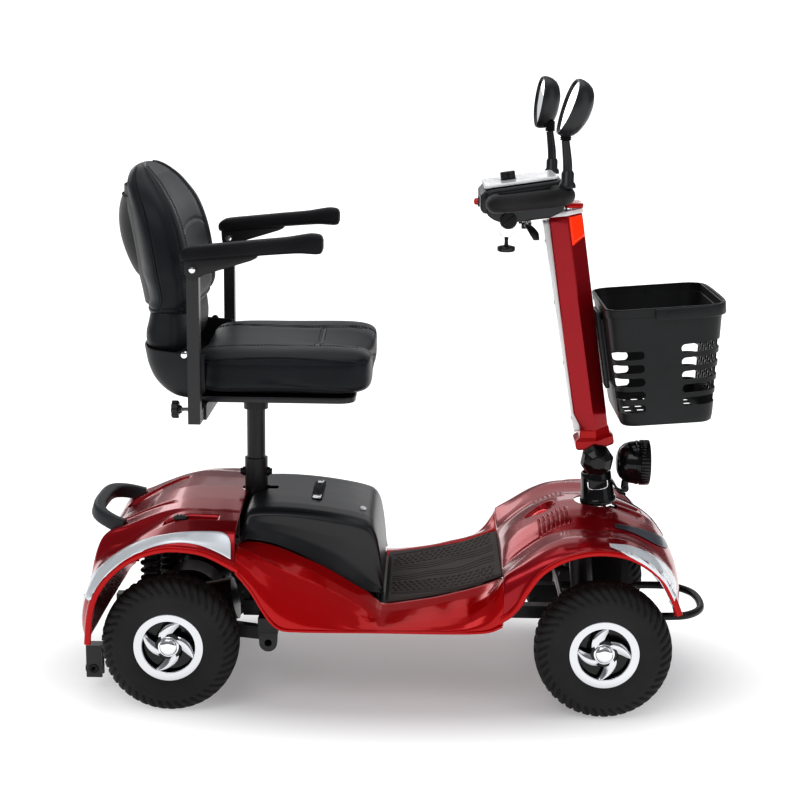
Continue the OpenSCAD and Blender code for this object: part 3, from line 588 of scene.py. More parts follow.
def area_light(name, place, target, size, power, tone=(1, 1, 1)):
    """A soft rectangular light that faces target."""
    data = bpy.data.lights.new(name, "AREA")
    data.shape = "RECTANGLE"
    data.size, data.size_y = size
    data.energy, data.color = power, tone
    lamp = shown(name, data)
    lamp.location = place
    lamp.rotation_mode = "QUATERNION"
    lamp.rotation_quaternion = (Vector(target) - Vector(place)).to_track_quat("-Z", "Y")


def flat_mesh(name, corners):
    """A mesh of four-cornered faces in metres, from their corners in order."""
    data = bpy.data.meshes.new(name)
    data.from_pydata(corners, [], [tuple(range(k, k + 4)) for k in range(0, len(corners), 4)])
    return data


WHITE_GLOW = 1.12  # the strength that shows as pure white


def make_floor():
    """A pale floor that catches the shadow and fades to pure white round the scooter."""
    r = 14.0
    data = flat_mesh("floor", [(-r, -r, 0), (r, -r, 0), (r, r, 0), (-r, r, 0)])
    floor = shown("floor", data)
    tree = look("floor", None, (0.93, 0.935, 0.95), 0.5, spread=0.0, rough_spread=0.02,
                specular=0.25).node_tree
    link = tree.links.new
    oval = node(tree, "ShaderNodeMapping", Scale=(1, 1.9, 1))
    link(node(tree, "ShaderNodeTexCoord").outputs["Object"], oval.inputs["Vector"])
    far = node(tree, "ShaderNodeVectorMath", operation="LENGTH")
    link(oval.outputs["Vector"], far.inputs[0])
    fade = node(tree, "ShaderNodeMapRange", interpolation_type="SMOOTHSTEP",
                **{"From Min": 0.45, "From Max": 1.05, "To Min": 0.2, "To Max": 1.0})
    link(far.outputs["Value"], fade.inputs["Value"])
    glow = node(tree, "ShaderNodeEmission", Color=(1, 1, 1, 1), Strength=WHITE_GLOW)
    mixed = node(tree, "ShaderNodeMixShader")
    end = next(n for n in tree.nodes if n.type == "OUTPUT_MATERIAL")
    link(fade.outputs["Result"], mixed.inputs[0])
    link(end.inputs["Surface"].links[0].from_socket, mixed.inputs[1])
    link(glow.outputs[0], mixed.inputs[2])
    link(mixed.outputs[0], end.inputs["Surface"])
    data.materials.append(LOOKS["floor"])


def make_cards():
    """Two white cards far behind, for the mirrors and the face plate to reflect."""
    y = 6
    corners = [(x, y, z) for x0, x1, z0, z1 in ((-4.8, -1.9, 1.5, 4.2), (0.1, 1.5, 1.2, 1.62))
               for x, z in ((x0, z0), (x1, z0), (x1, z1), (x0, z1))]
    wall = flat_mesh("wall", corners)
    card = shown("wall", wall)
    glowing = bpy.data.materials.new("white_card")
    glowing.use_nodes = True
    shade = glowing.node_tree.nodes["Principled BSDF"].inputs
    shade["Base Color"].default_value = (0.9, 0.9, 0.9, 1)
    shade["Emission Color"].default_value = (1, 1, 1, 1)
    shade["Emission Strength"].default_value = WHITE_GLOW
    wall.materials.append(glowing)


def make_world():
    """A white surround to look at, which lights the scooter as a dim room, brighter above."""
    world = bpy.data.worlds.new("studio")
    world.use_nodes = True
    tree = world.node_tree
    link = tree.links.new
    split = node(tree, "ShaderNodeSeparateXYZ")
    link(node(tree, "ShaderNodeTexCoord").outputs["Generated"], split.inputs["Vector"])
    sky = node(tree, "ShaderNodeValToRGB")
    stops = sky.color_ramp
    stops.elements[0].position, stops.elements[0].color = 0.44, (0.05, 0.052, 0.058, 1)
    stops.elements[1].position, stops.elements[1].color = 0.9, (0.36, 0.36, 0.37, 1)
    stops.elements.new(0.55).color = (0.16, 0.165, 0.175, 1)
    lift = node(tree, "ShaderNodeMath", operation="MULTIPLY_ADD")
    lift.inputs[1].default_value, lift.inputs[2].default_value = 0.5, 0.5
    link(split.outputs["Z"], lift.inputs[0])
    link(lift.outputs[0], sky.inputs["Fac"])
    pick = node(tree, "ShaderNodeMix", data_type="RGBA")
    link(node(tree, "ShaderNodeLightPath").outputs["Is Camera Ray"], pick.inputs["Factor"])
    link(sky.outputs["Color"], pick.inputs["A"])
    pick.inputs["B"].default_value = (WHITE_GLOW, WHITE_GLOW, WHITE_GLOW, 1)
    back = tree.nodes["Background"].inputs
    link(pick.outputs["Result"], back["Color"])
    back["Strength"].default_value = 1.0
    bpy.context.scene.world = world


def make_stage():
    """Floor, surround, soft lights and the picture's contrast."""
    make_floor()
    make_cards()
    make_world()
    bpy.context.scene.view_settings.view_transform = "Standard"
    bpy.context.scene.view_settings.look = "Medium High Contrast"
    area_light("key", (-1.2, -2.6, 3.0), (0, 0, 0.4), (2.4, 1.6), 24)
    area_light("top", (0.2, 0.4, 3.4), (0, 0, 0.4), (3.2, 2.4), 24)
    area_light("fill", (2.6, -1.8, 1.6), (0, 0, 0.4), (1.6, 2.0), 7, (0.96, 0.98, 1))
    area_light("back", (0.0, 3.2, 1.8), (0, 0, 0.5), (4.0, 1.6), 9)


make_camera()
make_stage()


# ---------------------------------------------------------------- wheels

def tyre_part(r=128.0, half=41.0, lugs=44):
    """A tyre about Z: smooth walls, and curved lugs that run from the shoulder over the tread."""
    outline = np.array([(62, -35), (66, -38), (78, -40.5), (92, -41), (103, -40.5), (112, -39), (119, -35.5),
                        (124, -29.5), (127, -21), (r, -10), (r + 0.4, 0)], float)
    wall = even(outline, 34)
    full = np.concatenate([wall, wall[-2::-1] * [1, -1]])
    inner = even([(62, 35), (59, 30), (57, 0), (59, -30), (62, -35)], 9)[1:-1]
    full = np.concatenate([full, inner])
    out = np.gradient(full, axis=0)
    out = np.stack([-out[:, 1], out[:, 0]], 1)
    out /= -np.linalg.norm(out, axis=1)[:, None]
    a = circle(lugs * 14)
    rad, high = full[:, :1], full[:, 1:]
    along = np.clip((rad - 103.0) / 25.0, 0, 1)
    wrap = np.abs(high) / half
    hook = 0.75 * (1 - along) ** 1.5 - 0.9 * (1 - wrap) * (along > 0.2)
    phase = (a[None] * lugs / (2 * math.pi) + hook * np.sign(high + 1e-9)) % 1.0
    groove = 1 - np.clip((np.abs(phase - 0.5) - 0.13) / 0.09, 0, 1)
    reach = np.clip((rad - 103.5) / 3.0, 0, 1) * np.clip((np.abs(high) - 7.0) / 1.5, 0, 1)
    wavy = np.abs(np.abs(high) - 6.5 - 2.2 * np.sin(lugs * a)[None]) < 1.6
    tread = np.clip((rad - 126.0) / 1.0, 0, 1) * wavy
    deep = 3.4 * np.clip(groove * reach + tread * 0.9, 0, 1)
    band = 0.7 * hump(rad - 97.0, 1.3) * (np.abs(high) > 20)
    push = (band - deep)[:, :, None] * out[:, None, :]
    rr, hh = rad + push[:, :, 0], high + push[:, :, 1]
    grid = np.stack([rr * np.cos(a), rr * np.sin(a), hh + 0 * rr], 2)
    return skin(grid, around=True, wrap=True)


def blade_grid(turn, z0, z1, inner=19.0, outer=51.0):
    """One curved pinwheel spoke between the hub and the ring, tapering outwards."""
    t = np.linspace(0, 1, 22)[:, None]
    s = np.linspace(-1, 1, 13)[None]
    middle = math.radians(140) - math.radians(58) * t**0.8
    half = math.radians(34) * (1 - t) ** 1.15 + math.radians(5.5)
    angle = turn + middle + half * s
    rad = inner + (outer - inner) * t + 0 * s
    top = z1 - 3.2 * s**2 - 3.0 * (1 - t) + 0 * t
    upper = np.stack([rad * np.cos(angle), rad * np.sin(angle), top], 2)
    lower = np.stack([rad * np.cos(angle), rad * np.sin(angle), 0 * top + z0], 2)
    return skin(np.concatenate([upper, lower[:, ::-1]], 1), around=True, caps=True)


def wheel(axle, side):
    """Tyre, polished rim and hub cap of one wheel."""
    name = f"{axle}_{side}"
    low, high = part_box(f"tyre_{name}")
    centre = (low + high) / 2 / MM
    s = SIDES[side]
    body = f"wheel_{name}"
    at = facing((0, s, 0), centre)
    if side == "left":
        at = at @ spin(25, "Z")
    if axle == "rear":
        at = at @ spin(-17, "Z")
    piece(f"tyre_rubber_{name}", moved(TYRE, at), body, "tyre", replaces=[f"tyre_{name}"], smooth=50)
    ring = turned([(49.2, 31), (49.2, 36), (50.4, 37.6), (62.6, 38.6), (64.6, 38.0), (65.6, 36.2),
                   (65.4, 30), (56.8, 27), (56.8, -27), (65.4, -30), (65.4, -36), (50, -36), (49.2, -30),
                   (54, 0)], 128, ring=True)
    spokes = merge(*[blade_grid(k * math.pi / 2, 25, 36.6) for k in range(4)])
    solid(f"rim_ring_{name}", moved(merge(ring, spokes), at), body, "polished", smooth=30)
    back = turned([(0, 8), (50, 8), (54, 14), (54, 22), (50.2, 26), (48, 18), (26, 15), (26, 31),
                   (24, 33.4), (0, 33.4)])
    nuts = [moved(turned([(0, 14), (4.4, 14), (4.4, 22), (3.4, 23), (0, 23)], 6),
                  shift(36 * math.cos(b), 36 * math.sin(b), 0)) for b in np.radians([25, 115, 205, 295])]
    solid(f"rim_centre_{name}", moved(merge(back, *nuts), at), body, "gloss_black",
          replaces=[f"rim_{name}"], smooth=35)
    cap = turned([(0, 30), (19.6, 30), (19.8, 34), (18.8, 35.2), (16.6, 35.6), (16, 37.6), (13.6, 39.7),
                  (8, 41.1), (0, 41.6)], 64)
    solid(f"hub_cap_{name}", moved(cap, at), body, "chrome", smooth=45)
    valve = tube([(41, 3, 20), (41, 3, 30), (40.4, 3, 34.5)], [2.6, 2.6, 2.0], 12, 8)
    solid(f"valve_{name}", moved(valve, at), body, "rubber")


TYRE = tyre_part()
for axle in ("front", "rear"):
    for side in SIDES:
        wheel(axle, side)


# ---------------------------------------------------------------- front cowl

FRONT_X = [187, 191, 218, 262, 306, 366, 422]
FRONT_LINES = {
    0: [232, 268, 301, 331, 350, 355, 343, (486, 314), (523, 263), (536, 228), (540, 198)],
    60: [233, 265, 298, 328, 347, 351, 340, (484, 311), (521, 261), (534, 227), (538, 198)],
    100: [235, 259, 289, 321, 340, 344, 334, (478, 307), (517, 258), (530, 225), (534, 199)],
    122: [236, 254, 283, 315, 332, 335, 327, (473, 302), (514, 256), (527, 224), (531, 199)],
    140: [237, 252, 280, 312, 328, 330, 323, (469, 299), (510, 254), (524, 223), (528, 200)],
    170: [244, 256, 282, 314, 330, 332, 324, (466, 299), (506, 252), (520, 222), (523, 201)],
    205: [256, 265, 287, 318, 334, 337, 329, (466, 302), (501, 256), (514, 224), (517, 203)],
    235: [265, 272, 289, 316, 331, 334, 325, (466, 298), (495, 256), (506, 226), (510, 204)],
    252: [261, 267, 283, 309, 325, 329, 319, (463, 291), (490, 252), (500, 225), (505, 204)],
    260: [238, 246, 266, 298, 318, 325, 314, (460, 285), (486, 249), (497, 224), (503, 204)],
}
FRONT_LIP = [(187, 187), (203, 198), (220, 218), (235, 246), (262, 281), (307, 307), (362, 317), (417, 309),
             (464, 279), (489, 241), (505, 204)]


def front_line(row):
    """A row of heights, and of whole points past the last fixed station, as points."""
    return [v if isinstance(v, tuple) else (x, v) for x, v in zip(FRONT_X + [0] * 4, row)]


front_edge = [tuple(p) for p in away(FRONT_LIP, 12)]
front_edge[0] = (187, 200)
front_lines = [front_line(row) for row in FRONT_LINES.values()] + [front_edge]
grid = loft(mirrored(front_lines, [*FRONT_LINES, 264]), 231, 400, 2.2)
x, y = grid[:, :, 0], grid[:, :, 1]
up = normals(grid)
top_part = 1 - ramp(x, 470, 30)
scoop = np.sqrt(((x - 266) / 31) ** 2 + (y / (17 + 16 * ramp(x, 236, 55))) ** 2)
dip = 9.0 * (1 - ramp(scoop, 0.82, 0.2))
bow = x + 0.0009 * (np.abs(y) - 92) ** 2
for k in range(7):
    at = 262 + 8.6 * k
    reach = inside(np.abs(y), 60 - 2.0 * k, 122 - 2.5 * k, 9)
    dip = dip + 3.0 * reach * hump(bow - at, 1.5) - 1.6 * reach * hump(bow - at - 3.4, 1.9)
wedge = np.abs(y) - (26 + 0.3 * (x - 398))
dip = dip + 4.5 * (1 - ramp(wedge, -2, 4)) * inside(x, 402, 462, 9) * ramp(np.abs(y), 5, 9)
dip = dip + 1.6 * hump(np.abs(y) - 134, 5) * inside(x, 215, 470, 30)
grid = grid - up * (dip * top_part)[:, :, None]
front_cowl = piece("front_cowl_skin", skin(grid), "chassis", "red_paint", replaces=["front_cowl"], smooth=50)
thicken(front_cowl, 2.6, -1)
apply(front_cowl)
cut(front_cowl, moved(turned([(43, 0), (43, 120)], 64), shift(376, 0, 290)))
boot = turned([(17, -3), (17, 0), (49, 12), (51, 12), (51, 9), (19, -3)], 64, ring=True)
solid("column_seal", moved(boot, shift(382, 0, 319)), "chassis", "rubber")
lens_grid = []
for t in np.linspace(0, 1, 15):
    a = circle(48)
    lx = 268 + 24 * t * np.cos(a)
    ly = (13 + 9 * ramp(lx, 240, 45)) * t * np.sin(a)
    lz = 327 + 0.5 * (lx - 262) - 0.0044 * (lx - 262) ** 2 - 9.5 + 8.5 * (1 - t**2.2)
    lens_grid.append(np.stack([lx - 2, ly, lz], 1))
piece("front_lens", skin(np.array(lens_grid[::-1]), around=True, caps=True), "chassis", "red_lens", smooth=60)
lip_section = [(257, 11), (262.5, 12.2), (265.6, 11.4), (267, 9.0), (267.4, 5), (266.8, 1.5), (265, 0),
               (259, 0.4), (257.5, 3), (257, 11)]
piece("front_lip", both(band(FRONT_LIP, lip_section)), "chassis", "bright_red", smooth=50)
silver_top = [(377, 338), (413, 335), (444, 324), (475, 306), (496, 278), (502, 246), (502, 236)]
silver_foot = [(379, 332), (411, 318), (441, 300), (465, 276), (485, 246), (493, 231), (499, 220)]
trim("front_silver", front_cowl, silver_top, silver_foot, -257, "silver_paint")
stripe_top = [(398, 346), (428, 341), (456, 334), (488, 321), (499, 305)]
stripe_foot = [(400, 338), (420, 333), (444, 324), (476, 308), (498, 300)]
trim("front_stripe", front_cowl, stripe_top, stripe_foot, -150, "grey_stripe")


# ---------------------------------------------------------------- rear cowl

REAR_MIDDLE = [(-309, 368), (-364, 370), (-415, 369), (-452, 362), (-491, 345), (-526, 326), (-562, 305),
               (-588, 272), (-600, 222), (-602, 165), (-592, 128)]
REAR_DECK = [(-309, 361), (-364, 363), (-415, 364), (-452, 357), (-491, 343), (-526, 328), (-566, 312),
             (-585, 280), (-598, 222), (-601, 165), (-591, 128)]
REAR_SHELF = [(-309, 359), (-364, 361), (-415, 361), (-452, 346), (-491, 322), (-526, 294), (-562, 279),
              (-583, 258), (-597, 215), (-600, 165), (-591, 128)]
REAR_SHOULDER = [(-309, 345), (-364, 346), (-415, 342), (-452, 333), (-491, 318), (-526, 297), (-558, 268),
                 (-578, 240), (-593, 205), (-598, 160), (-589, 127)]
REAR_CREASE = [(-309, 312), (-364, 328), (-415, 334), (-455, 326), (-490, 311), (-520, 290), (-549, 262),
               (-569, 232), (-582, 203), (-588, 166), (-586, 128)]
REAR_LIP = [(-305, 273), (-364, 303), (-415, 311), (-450, 308), (-484, 297), (-512, 281), (-536, 260),
            (-554, 236), (-567, 208), (-574, 175), (-578, 130)]


def blend(a, b, f, rise=0.0):
    """A line part way between two others."""
    a, b = np.array(a, float), np.array(b, float)
    return a * (1 - f) + b * f + [0, rise]


rear_edge = away(REAR_LIP, -12)
rear_edge[0] = (-309, 287)
rear_lines = [REAR_MIDDLE, blend(REAR_MIDDLE, REAR_DECK, 0.35), REAR_DECK, REAR_SHELF,
              blend(REAR_SHELF, REAR_SHOULDER, 0.5, 2.5), REAR_SHOULDER, REAR_CREASE, rear_edge]
grid = loft(mirrored(rear_lines, [0, 85, 148, 160, 202, 240, 258, 264])[::-1], 301, 230, 1.6)
x, y = grid[:, :, 0], grid[:, :, 1]
low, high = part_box("freewheel_lever")
slider = (low + high) / 2 / MM
dip = 8.0 * inside(y, slider[1] - 10, slider[1] + 10, 2.4) * inside(x, -448, -350, 3)
ridge = np.abs(y) - (104 - 0.25 * (-430 - x))
dip = dip - 3.2 * hump(ridge, 4.5) * inside(x, -545, -455, 22)
dip = dip + 3.6 * hump(ridge + 9, 4.5) * inside(x, -545, -455, 22)
dip = dip + 2.5 * (1 - ramp(np.abs(y), 58, 12)) * inside(x, -560, -500, 14)
grid = grid - normals(grid) * dip[:, :, None]
rear_cowl = piece("rear_cowl_skin", skin(grid), "chassis", "red_paint", replaces=["rear_cowl"], smooth=50)
thicken(rear_cowl, 2.6, -1)
apply(rear_cowl)
cut(rear_cowl, moved(turned([(27.5, 0), (27.5, 140)], 48), shift(POST_X, 0, 300)))
piece("rear_lip", both(band(REAR_LIP[::-1], lip_section)), "chassis", "bright_red", smooth=50)
silver_top = [(-585, 226), (-579, 253), (-555, 280), (-519, 310), (-478, 331), (-433, 343), (-389, 349),
              (-338, 350), (-321, 343), (-316, 330)]
silver_foot = [(-582, 216), (-575, 214), (-564, 237), (-542, 267), (-506, 296), (-459, 319), (-415, 328),
               (-377, 325), (-342, 312), (-316, 298)]
trim("rear_silver", rear_cowl, silver_top, silver_foot, -260, "silver_paint")
back_plate = slab(round_box(54, 26, 6), 0, 4, 1.5)
for side, s in SIDES.items():
    outward_slant = facing((-1, s * 0.5, 0.1), (-594, s * 222, 186), (0, 1, 0))
    piece(f"rear_reflector_{side}", moved(back_plate, outward_slant), "chassis", "silver_paint")


# ---------------------------------------------------------------- middle skirt

SKIRT_X = [-309, -281, -257, -225, -188, -150, -118, -90, -65, -47, -33, 12, 58, 94, 128, 160, 187]
SKIRT = {
    118: [290, 284, 278, 269, 256, 239, 221, 203, 188, 176, 172, 178, 186, 195, 204, 215, 226],
    150: [300, 296, 292, 282, 262, 245, 227, 209, 194, 182, 178, 185, 193, 202, 211, 222, 233],
    160: [306, 303, 299, 290, 270, 253, 235, 217, 202, 188, 182, 189, 197, 206, 215, 226, 238],
    167: [310, 306, 302, 292, 277, 260, 242, 225, 210, 195, 189, 195, 203, 212, 221, 232, 243],
    176: [311, 306, 301, 291, 278, 261, 243, 226, 211, 196, 190, 196, 204, 213, 222, 233, 245],
    204: [312, 303, 293, 281, 267, 250, 233, 217, 202, 190, 185, 190, 197, 206, 214, 228, 252],
    225: [313, 301, 287, 270, 254, 237, 221, 206, 193, 184, 180, 184, 189, 197, 206, 227, 262],
    243: [309, 291, 270, 248, 233, 218, 203, 191, 182, 177, 175, 178, 181, 187, 195, 219, 262],
    256: [299, 275, 247, 219, 203, 192, 182, 176, 173, 172, 171, 172, 174, 177, 184, 202, 246],
    263: [284, 256, 222, 190, 176, 172, 170, 169, 168, 168, 168, 168, 168, 170, 174, 186, 212],
    264: [276, 241, 201, 170, 165, 165, 165, 166, 166, 166, 166, 166, 166, 166, 167, 171, 186],
    260: [273, 237, 197, 166, 161, 161, 161, 162, 162, 162, 162, 162, 162, 162, 163, 167, 178],
    252: [273, 237, 197, 166, 161, 161, 161, 162, 162, 162, 162, 162, 162, 162, 163, 167, 178],
}
for side, s in SIDES.items():
    lines = [np.array([(x, s * y, z) for x, z in zip(SKIRT_X, row)], float) for y, row in SKIRT.items()]
    grid = loft(lines, 110, 240, 1.3)
    part = skin(grid if s > 0 else grid[::-1])
    # the skirt takes the lighter red: painted light for the direct light on it
    skirt = piece(f"skirt_{side}", part, "chassis", "bright_red", replaces=["footwell_shell"], smooth=50)
    thicken(skirt, 2.4, -1)
SKIRT_LIP = [(-309, 273), (-281, 237), (-257, 196), (-240, 174), (-222, 163), (-188, 161), (-137, 161),
             (-36, 162), (60, 162), (126, 163), (163, 167), (186, 177)]
skirt_section = [(258, 5), (263.5, 5), (266, 4), (266.4, 2), (265, 0), (258, 0)]
piece("skirt_lip", both(band(SKIRT_LIP, skirt_section)), "chassis", "bright_red", smooth=50)


# ---------------------------------------------------------------- battery lid

LID_TOP = [(-306, 318), (-305, 342), (-299, 361), (-281, 368), (-240, 369), (-200, 367), (-160, 363),
           (-120, 357), (-86, 350), (-65, 341), (-53, 322), (-46, 290), (-41, 248), (-38, 207)]
LID_SIDE = [(-306, 318), (-305, 334), (-298, 348), (-281, 353), (-240, 354), (-200, 351), (-160, 346),
            (-120, 340), (-88, 334), (-68, 325), (-56, 308), (-48, 280), (-42, 244), (-39, 207)]
LID_FOOT = [(-307, 204, 314), (-303, 201, 316), (-294, 186, 316), (-280, 172, 311), (-252, 163, 303),
            (-226, 161, 293), (-195, 160, 279), (-165, 160, 262), (-137, 160, 245), (-117, 159, 231),
            (-98, 158, 220), (-78, 157, 211), (-58, 156, 206), (-41, 155, 206)]


def lid_line(y, source, drop=0.0):
    """One lengthwise line of the lid's upper part, at one y."""
    fall = np.array([0, 0.3, 0.8] + [1] * 6 + [0.9, 0.7, 0.4, 0.2, 0])
    return np.array([(x, y, z - drop * f) for (x, z), f in zip(source, fall)])


foot = np.array(LID_FOOT, float)
upper = lid_line(150, LID_SIDE)
lid_lines = [lid_line(0, LID_TOP), lid_line(60, LID_TOP, 0.5), lid_line(105, LID_TOP, 2.0),
             lid_line(130, LID_TOP, 5.0), lid_line(143, LID_TOP, 9.0), upper,
             upper * 0.66 + foot * 0.34 + [0, -5, 0], upper * 0.33 + foot * 0.67 + [0, -6, 0], foot]
full = [line * [1, -1, 1] for line in lid_lines[:0:-1]] + lid_lines
grid = loft(full, 240, 150, 1.3)
lid = piece("battery_lid", skin(grid), "battery", "satin_plastic", replaces=["battery_cover"], smooth=50)
thicken(lid, 2.4, -1)
apply(lid)
cut(lid, moved(turned([(28.5, 0), (28.5, 160)], 48), shift(POST_X, 0, 290)))
cut(lid, moved(slab(round_box(50, 22, 4), 0, 160), shift(-276, 0, 290)))
cut(lid, moved(slab(round_box(110, 55, 4), 0, 160), shift(-350, 0, 290)))
strap_line = onto(lid, [(-171, y, 400) for y in np.linspace(-62, 62, 17)], (0, 0, -1), 1.4)
strap_line[:, 2] += 4.5 * np.cos(np.linspace(-math.pi / 2, math.pi / 2, 17)) ** 1.5
piece("strap", tube(strap_line, 1, count=60, section=round_box(21, 2.6, 1.1, 3)), "battery", "webbing",
      slot="mat_rubber")
clip = slab(round_box(17, 25, 3), 0, 3.6, 1)
small = slab(round_box(12, 25, 3), 0, 3.2, 1)
clips = merge(moved(clip, shift(-171, -57, 364.4)), moved(small, shift(-171, 59, 364.4)))
piece("strap_clips", clips, "battery", "chrome")
latch = slab(round_box(24, 15, 3), 0, 5, 1.5)
piece("lid_latch", moved(latch, facing((1, 0, 0.15), (-42, 62, 222))), "battery", "chrome")
lamp = turned([(0, -2), (6.5, -2), (6.5, 1), (5, 2.6), (0, 3.2)], 32)
piece("charge_light", moved(lamp, facing((0.35, -0.1, 1), (-80, -74, 348.6))), "battery", "white_paint")


WALL = [(-300, 316), (-276, 312), (-252, 306), (-226, 297), (-195, 283), (-165, 267), (-137, 250),
        (-117, 236), (-98, 225), (-78, 216), (-58, 212), (-48, 212)]
wall_top = side_points(WALL, 148)
thicken(piece("footwell_wall", both(skin(between(wall_top, wall_top - [0, 0, 34], 4, 60))),
              "chassis", "satin_plastic"), 2.0, 0)
bulkhead = slab(round_box(16, 298, 3), 0, 46, 2)
sill = slab(round_box(40, 312, 4), 0, 19, 2)
piece("footwell_sill", moved(sill, shift(-48, 0, 167)), "chassis", "satin_plastic")
rear_wall = slab(round_box(3, 300, 1), 0, 118, 0.5)
piece("footwell_rear_wall", moved(rear_wall, shift(-312.6, 0, 238)), "chassis", "satin_plastic")
piece("footwell_front_wall", moved(bulkhead, shift(-56, 0, 166)), "chassis", "satin_plastic")


# ---------------------------------------------------------------- foot mat

MAT = [(-34, 193), (12, 198.5), (58, 206.5), (100, 215.5), (128, 223.5), (160, 235), (187, 245)]
base = even(MAT, 200)
ys = np.linspace(-1, 1, 241)
half = np.interp(base[:, 0], [-34, 187], [164, 152])
grid = np.stack([np.repeat(base[None, :, 0], 241, 0), ys[:, None] * half[None],
                 np.repeat(base[None, :, 1], 241, 0)], 2)
x, y = grid[:, :, 0], grid[:, :, 1]
spread = 1 + 0.16 * (x - 70) / 110
lane = np.abs(y) / spread
wave = 5 * np.sin((x + 30) / 17)
# long grooves: distance from the middle, and how much each waves
grooves = ((20, 1), (34, 1), (48, 0.8), (139, 0.3), (148, 0.15))
groove = sum(hump(lane - c - wave * f, 1.5) for c, f in grooves)
row = np.floor((lane - 62) / 17.5)
cell_x = (x / 11.5 + 0.5 * (row % 2)) % 1.0 - 0.5
cell_y = ((lane - 62) / 17.5) % 1.0 - 0.5
scale = np.clip(1 - ((cell_x + 0.1) / 0.4) ** 2 - (cell_y / 0.44) ** 2, 0, 1) ** 0.5
bands = inside(lane, 62, 132, 2) * inside(x, -18, 172, 4)
edge = 2.5 * (1 - ramp(half[None] - np.abs(y), 0, 8)) + 2.5 * (1 - ramp(x, -34, 7))
grid[:, :, 2] += 2.6 * scale * bands - 2.6 * np.clip(groove, 0, 1) * inside(x, -22, 176, 4) - edge
mat = piece("mat", skin(grid), "chassis", "mat", replaces=["foot_mat"], smooth=45)
thicken(mat, 4.0, -1)
across_pan = np.linspace(-153, 153, 61)[:, None]
pan_x, pan_z = base[None, :, 0], base[None, :, 1] - 8.5
pan = np.stack([pan_x + 0 * across_pan, across_pan + 0 * pan_x, pan_z + 0 * across_pan], 2)
thicken(piece("footwell_pan", skin(pan), "chassis", "satin_plastic", smooth=45), 2.4, -1)


# ---------------------------------------------------------------- seat and its bowl

def power(value, exponent):
    """A signed power, for rounded-box sections."""
    return np.sign(value) * np.abs(value) ** exponent


def stitches(path, step=6.0, length=3.6):
    """A dashed line of thread lying along a path."""
    path = np.asarray(path, float)
    run = np.linalg.norm(np.diff(path, axis=0), axis=1).sum()
    fine = even(path, max(4, 2 * int(run / step)))
    parts = []
    for a, b in zip(fine[:-1:2], fine[1::2]):
        d = (b - a) / (np.linalg.norm(b - a) + 1e-9)
        parts.append(tube([a, (a + b) / 2, a + d * length], [0.45, 0.7, 0.45], 6))
    return merge(*parts)


def seat_cushion_grid(rows=150, cols=180):
    """The cushion: a soft box whose rim is rounded, with a valley between the thighs."""
    u = np.sin(np.linspace(-math.pi / 2, math.pi / 2, rows))[:, None] * 0.9999
    a = circle(cols)[None]
    end = (1 - np.abs(u) ** 5) ** (1 / 5)
    x = -227.5 + 164.5 * u + 0 * a
    y = 221.5 * (0.9 + 0.1 * end) * end**0.35 * power(np.cos(a), 0.3)
    z = 634 + 42 * end**0.85 * power(np.sin(a), 0.42)
    front = ramp(x, -260, 180)
    top = ramp(z, 630, 30)
    z = z - top * (15 * front * hump(y, 52) + 7 * hump(y, 120))
    z = z + top * 5 * hump(np.abs(y) - 165, 45) * (0.4 + 0.6 * front)
    x = x - 20 * front * hump(y, 46) * ramp(x, -120, 60)
    low = 1 - ramp(z, 592, 26)
    z = z + low * 9 * hump(x + 230, 110) * ramp(np.abs(y), 170, 40)
    return np.stack([x, y, z], 2)


SEAM_X = -168  # the seam across the cushion


def seam_y(x):
    """How far from the middle the two lengthwise seams run."""
    return 128 - 14 * np.cos((x + 200) / 90)


grid = seat_cushion_grid()
x, y, z = grid[:, :, 0], grid[:, :, 1], grid[:, :, 2]
top = ramp(z, 640, 22)
seam = hump(np.abs(y) - seam_y(x), 2.4) * top
seam = seam + hump(x - SEAM_X, 2.4) * top * (np.abs(y) > 20) * (np.abs(y) < 118)
seam = seam + hump(y, 2.2) * top * (x < SEAM_X)
welt = hump(z - 660, 2.0) * (np.abs(y) > 190) + hump(z - 622 + 0.1 * (x + 230), 2.0) * (np.abs(y) > 205)
fold_lines = 1.3 * np.sin(x / 9.0 + 2.2 * np.sin(y / 31.0)) * top * hump(np.abs(y) - 128, 22)
grid = grid - normals(grid) * (3.0 * np.clip(seam, 0, 1) + 1.5 * welt + 0.35 * fold_lines)[:, :, None]
cushion = solid("seat_cushion_pad", skin(grid, around=True, caps=True), "seat", "leather",
                replaces=["seat_cushion"], smooth=60)
lines = []
for s in (-1, 1):
    xs = np.linspace(-382, -92, 60)
    for off in (-5.5, 5.5):
        ys_line = s * (seam_y(xs) + off)
        lines.append(stitches(onto(cushion, np.c_[xs, ys_line, np.full(60, 700)], (0, 0, -1), 0.3)))
    ys_line = s * np.linspace(22, 112, 24)
    for off in (-5.5, 5.5):
        lines.append(stitches(onto(cushion, np.c_[np.full(24, SEAM_X + off), ys_line, np.full(24, 700)],
                                   (0, 0, -1), 0.3)))
piece("seat_thread", merge(*lines), "seat", "thread")
zs = np.linspace(-375, -88, 50)
for side, s in SIDES.items():
    line = onto(cushion, np.c_[zs, np.full(50, s * 300.0), 667 - 0.00035 * (zs + 230) ** 2], (0, -s, 0), 0.2)
    piece(f"seat_piping_{side}", tube(line, 1.9, 10), "seat", "leather_insert")

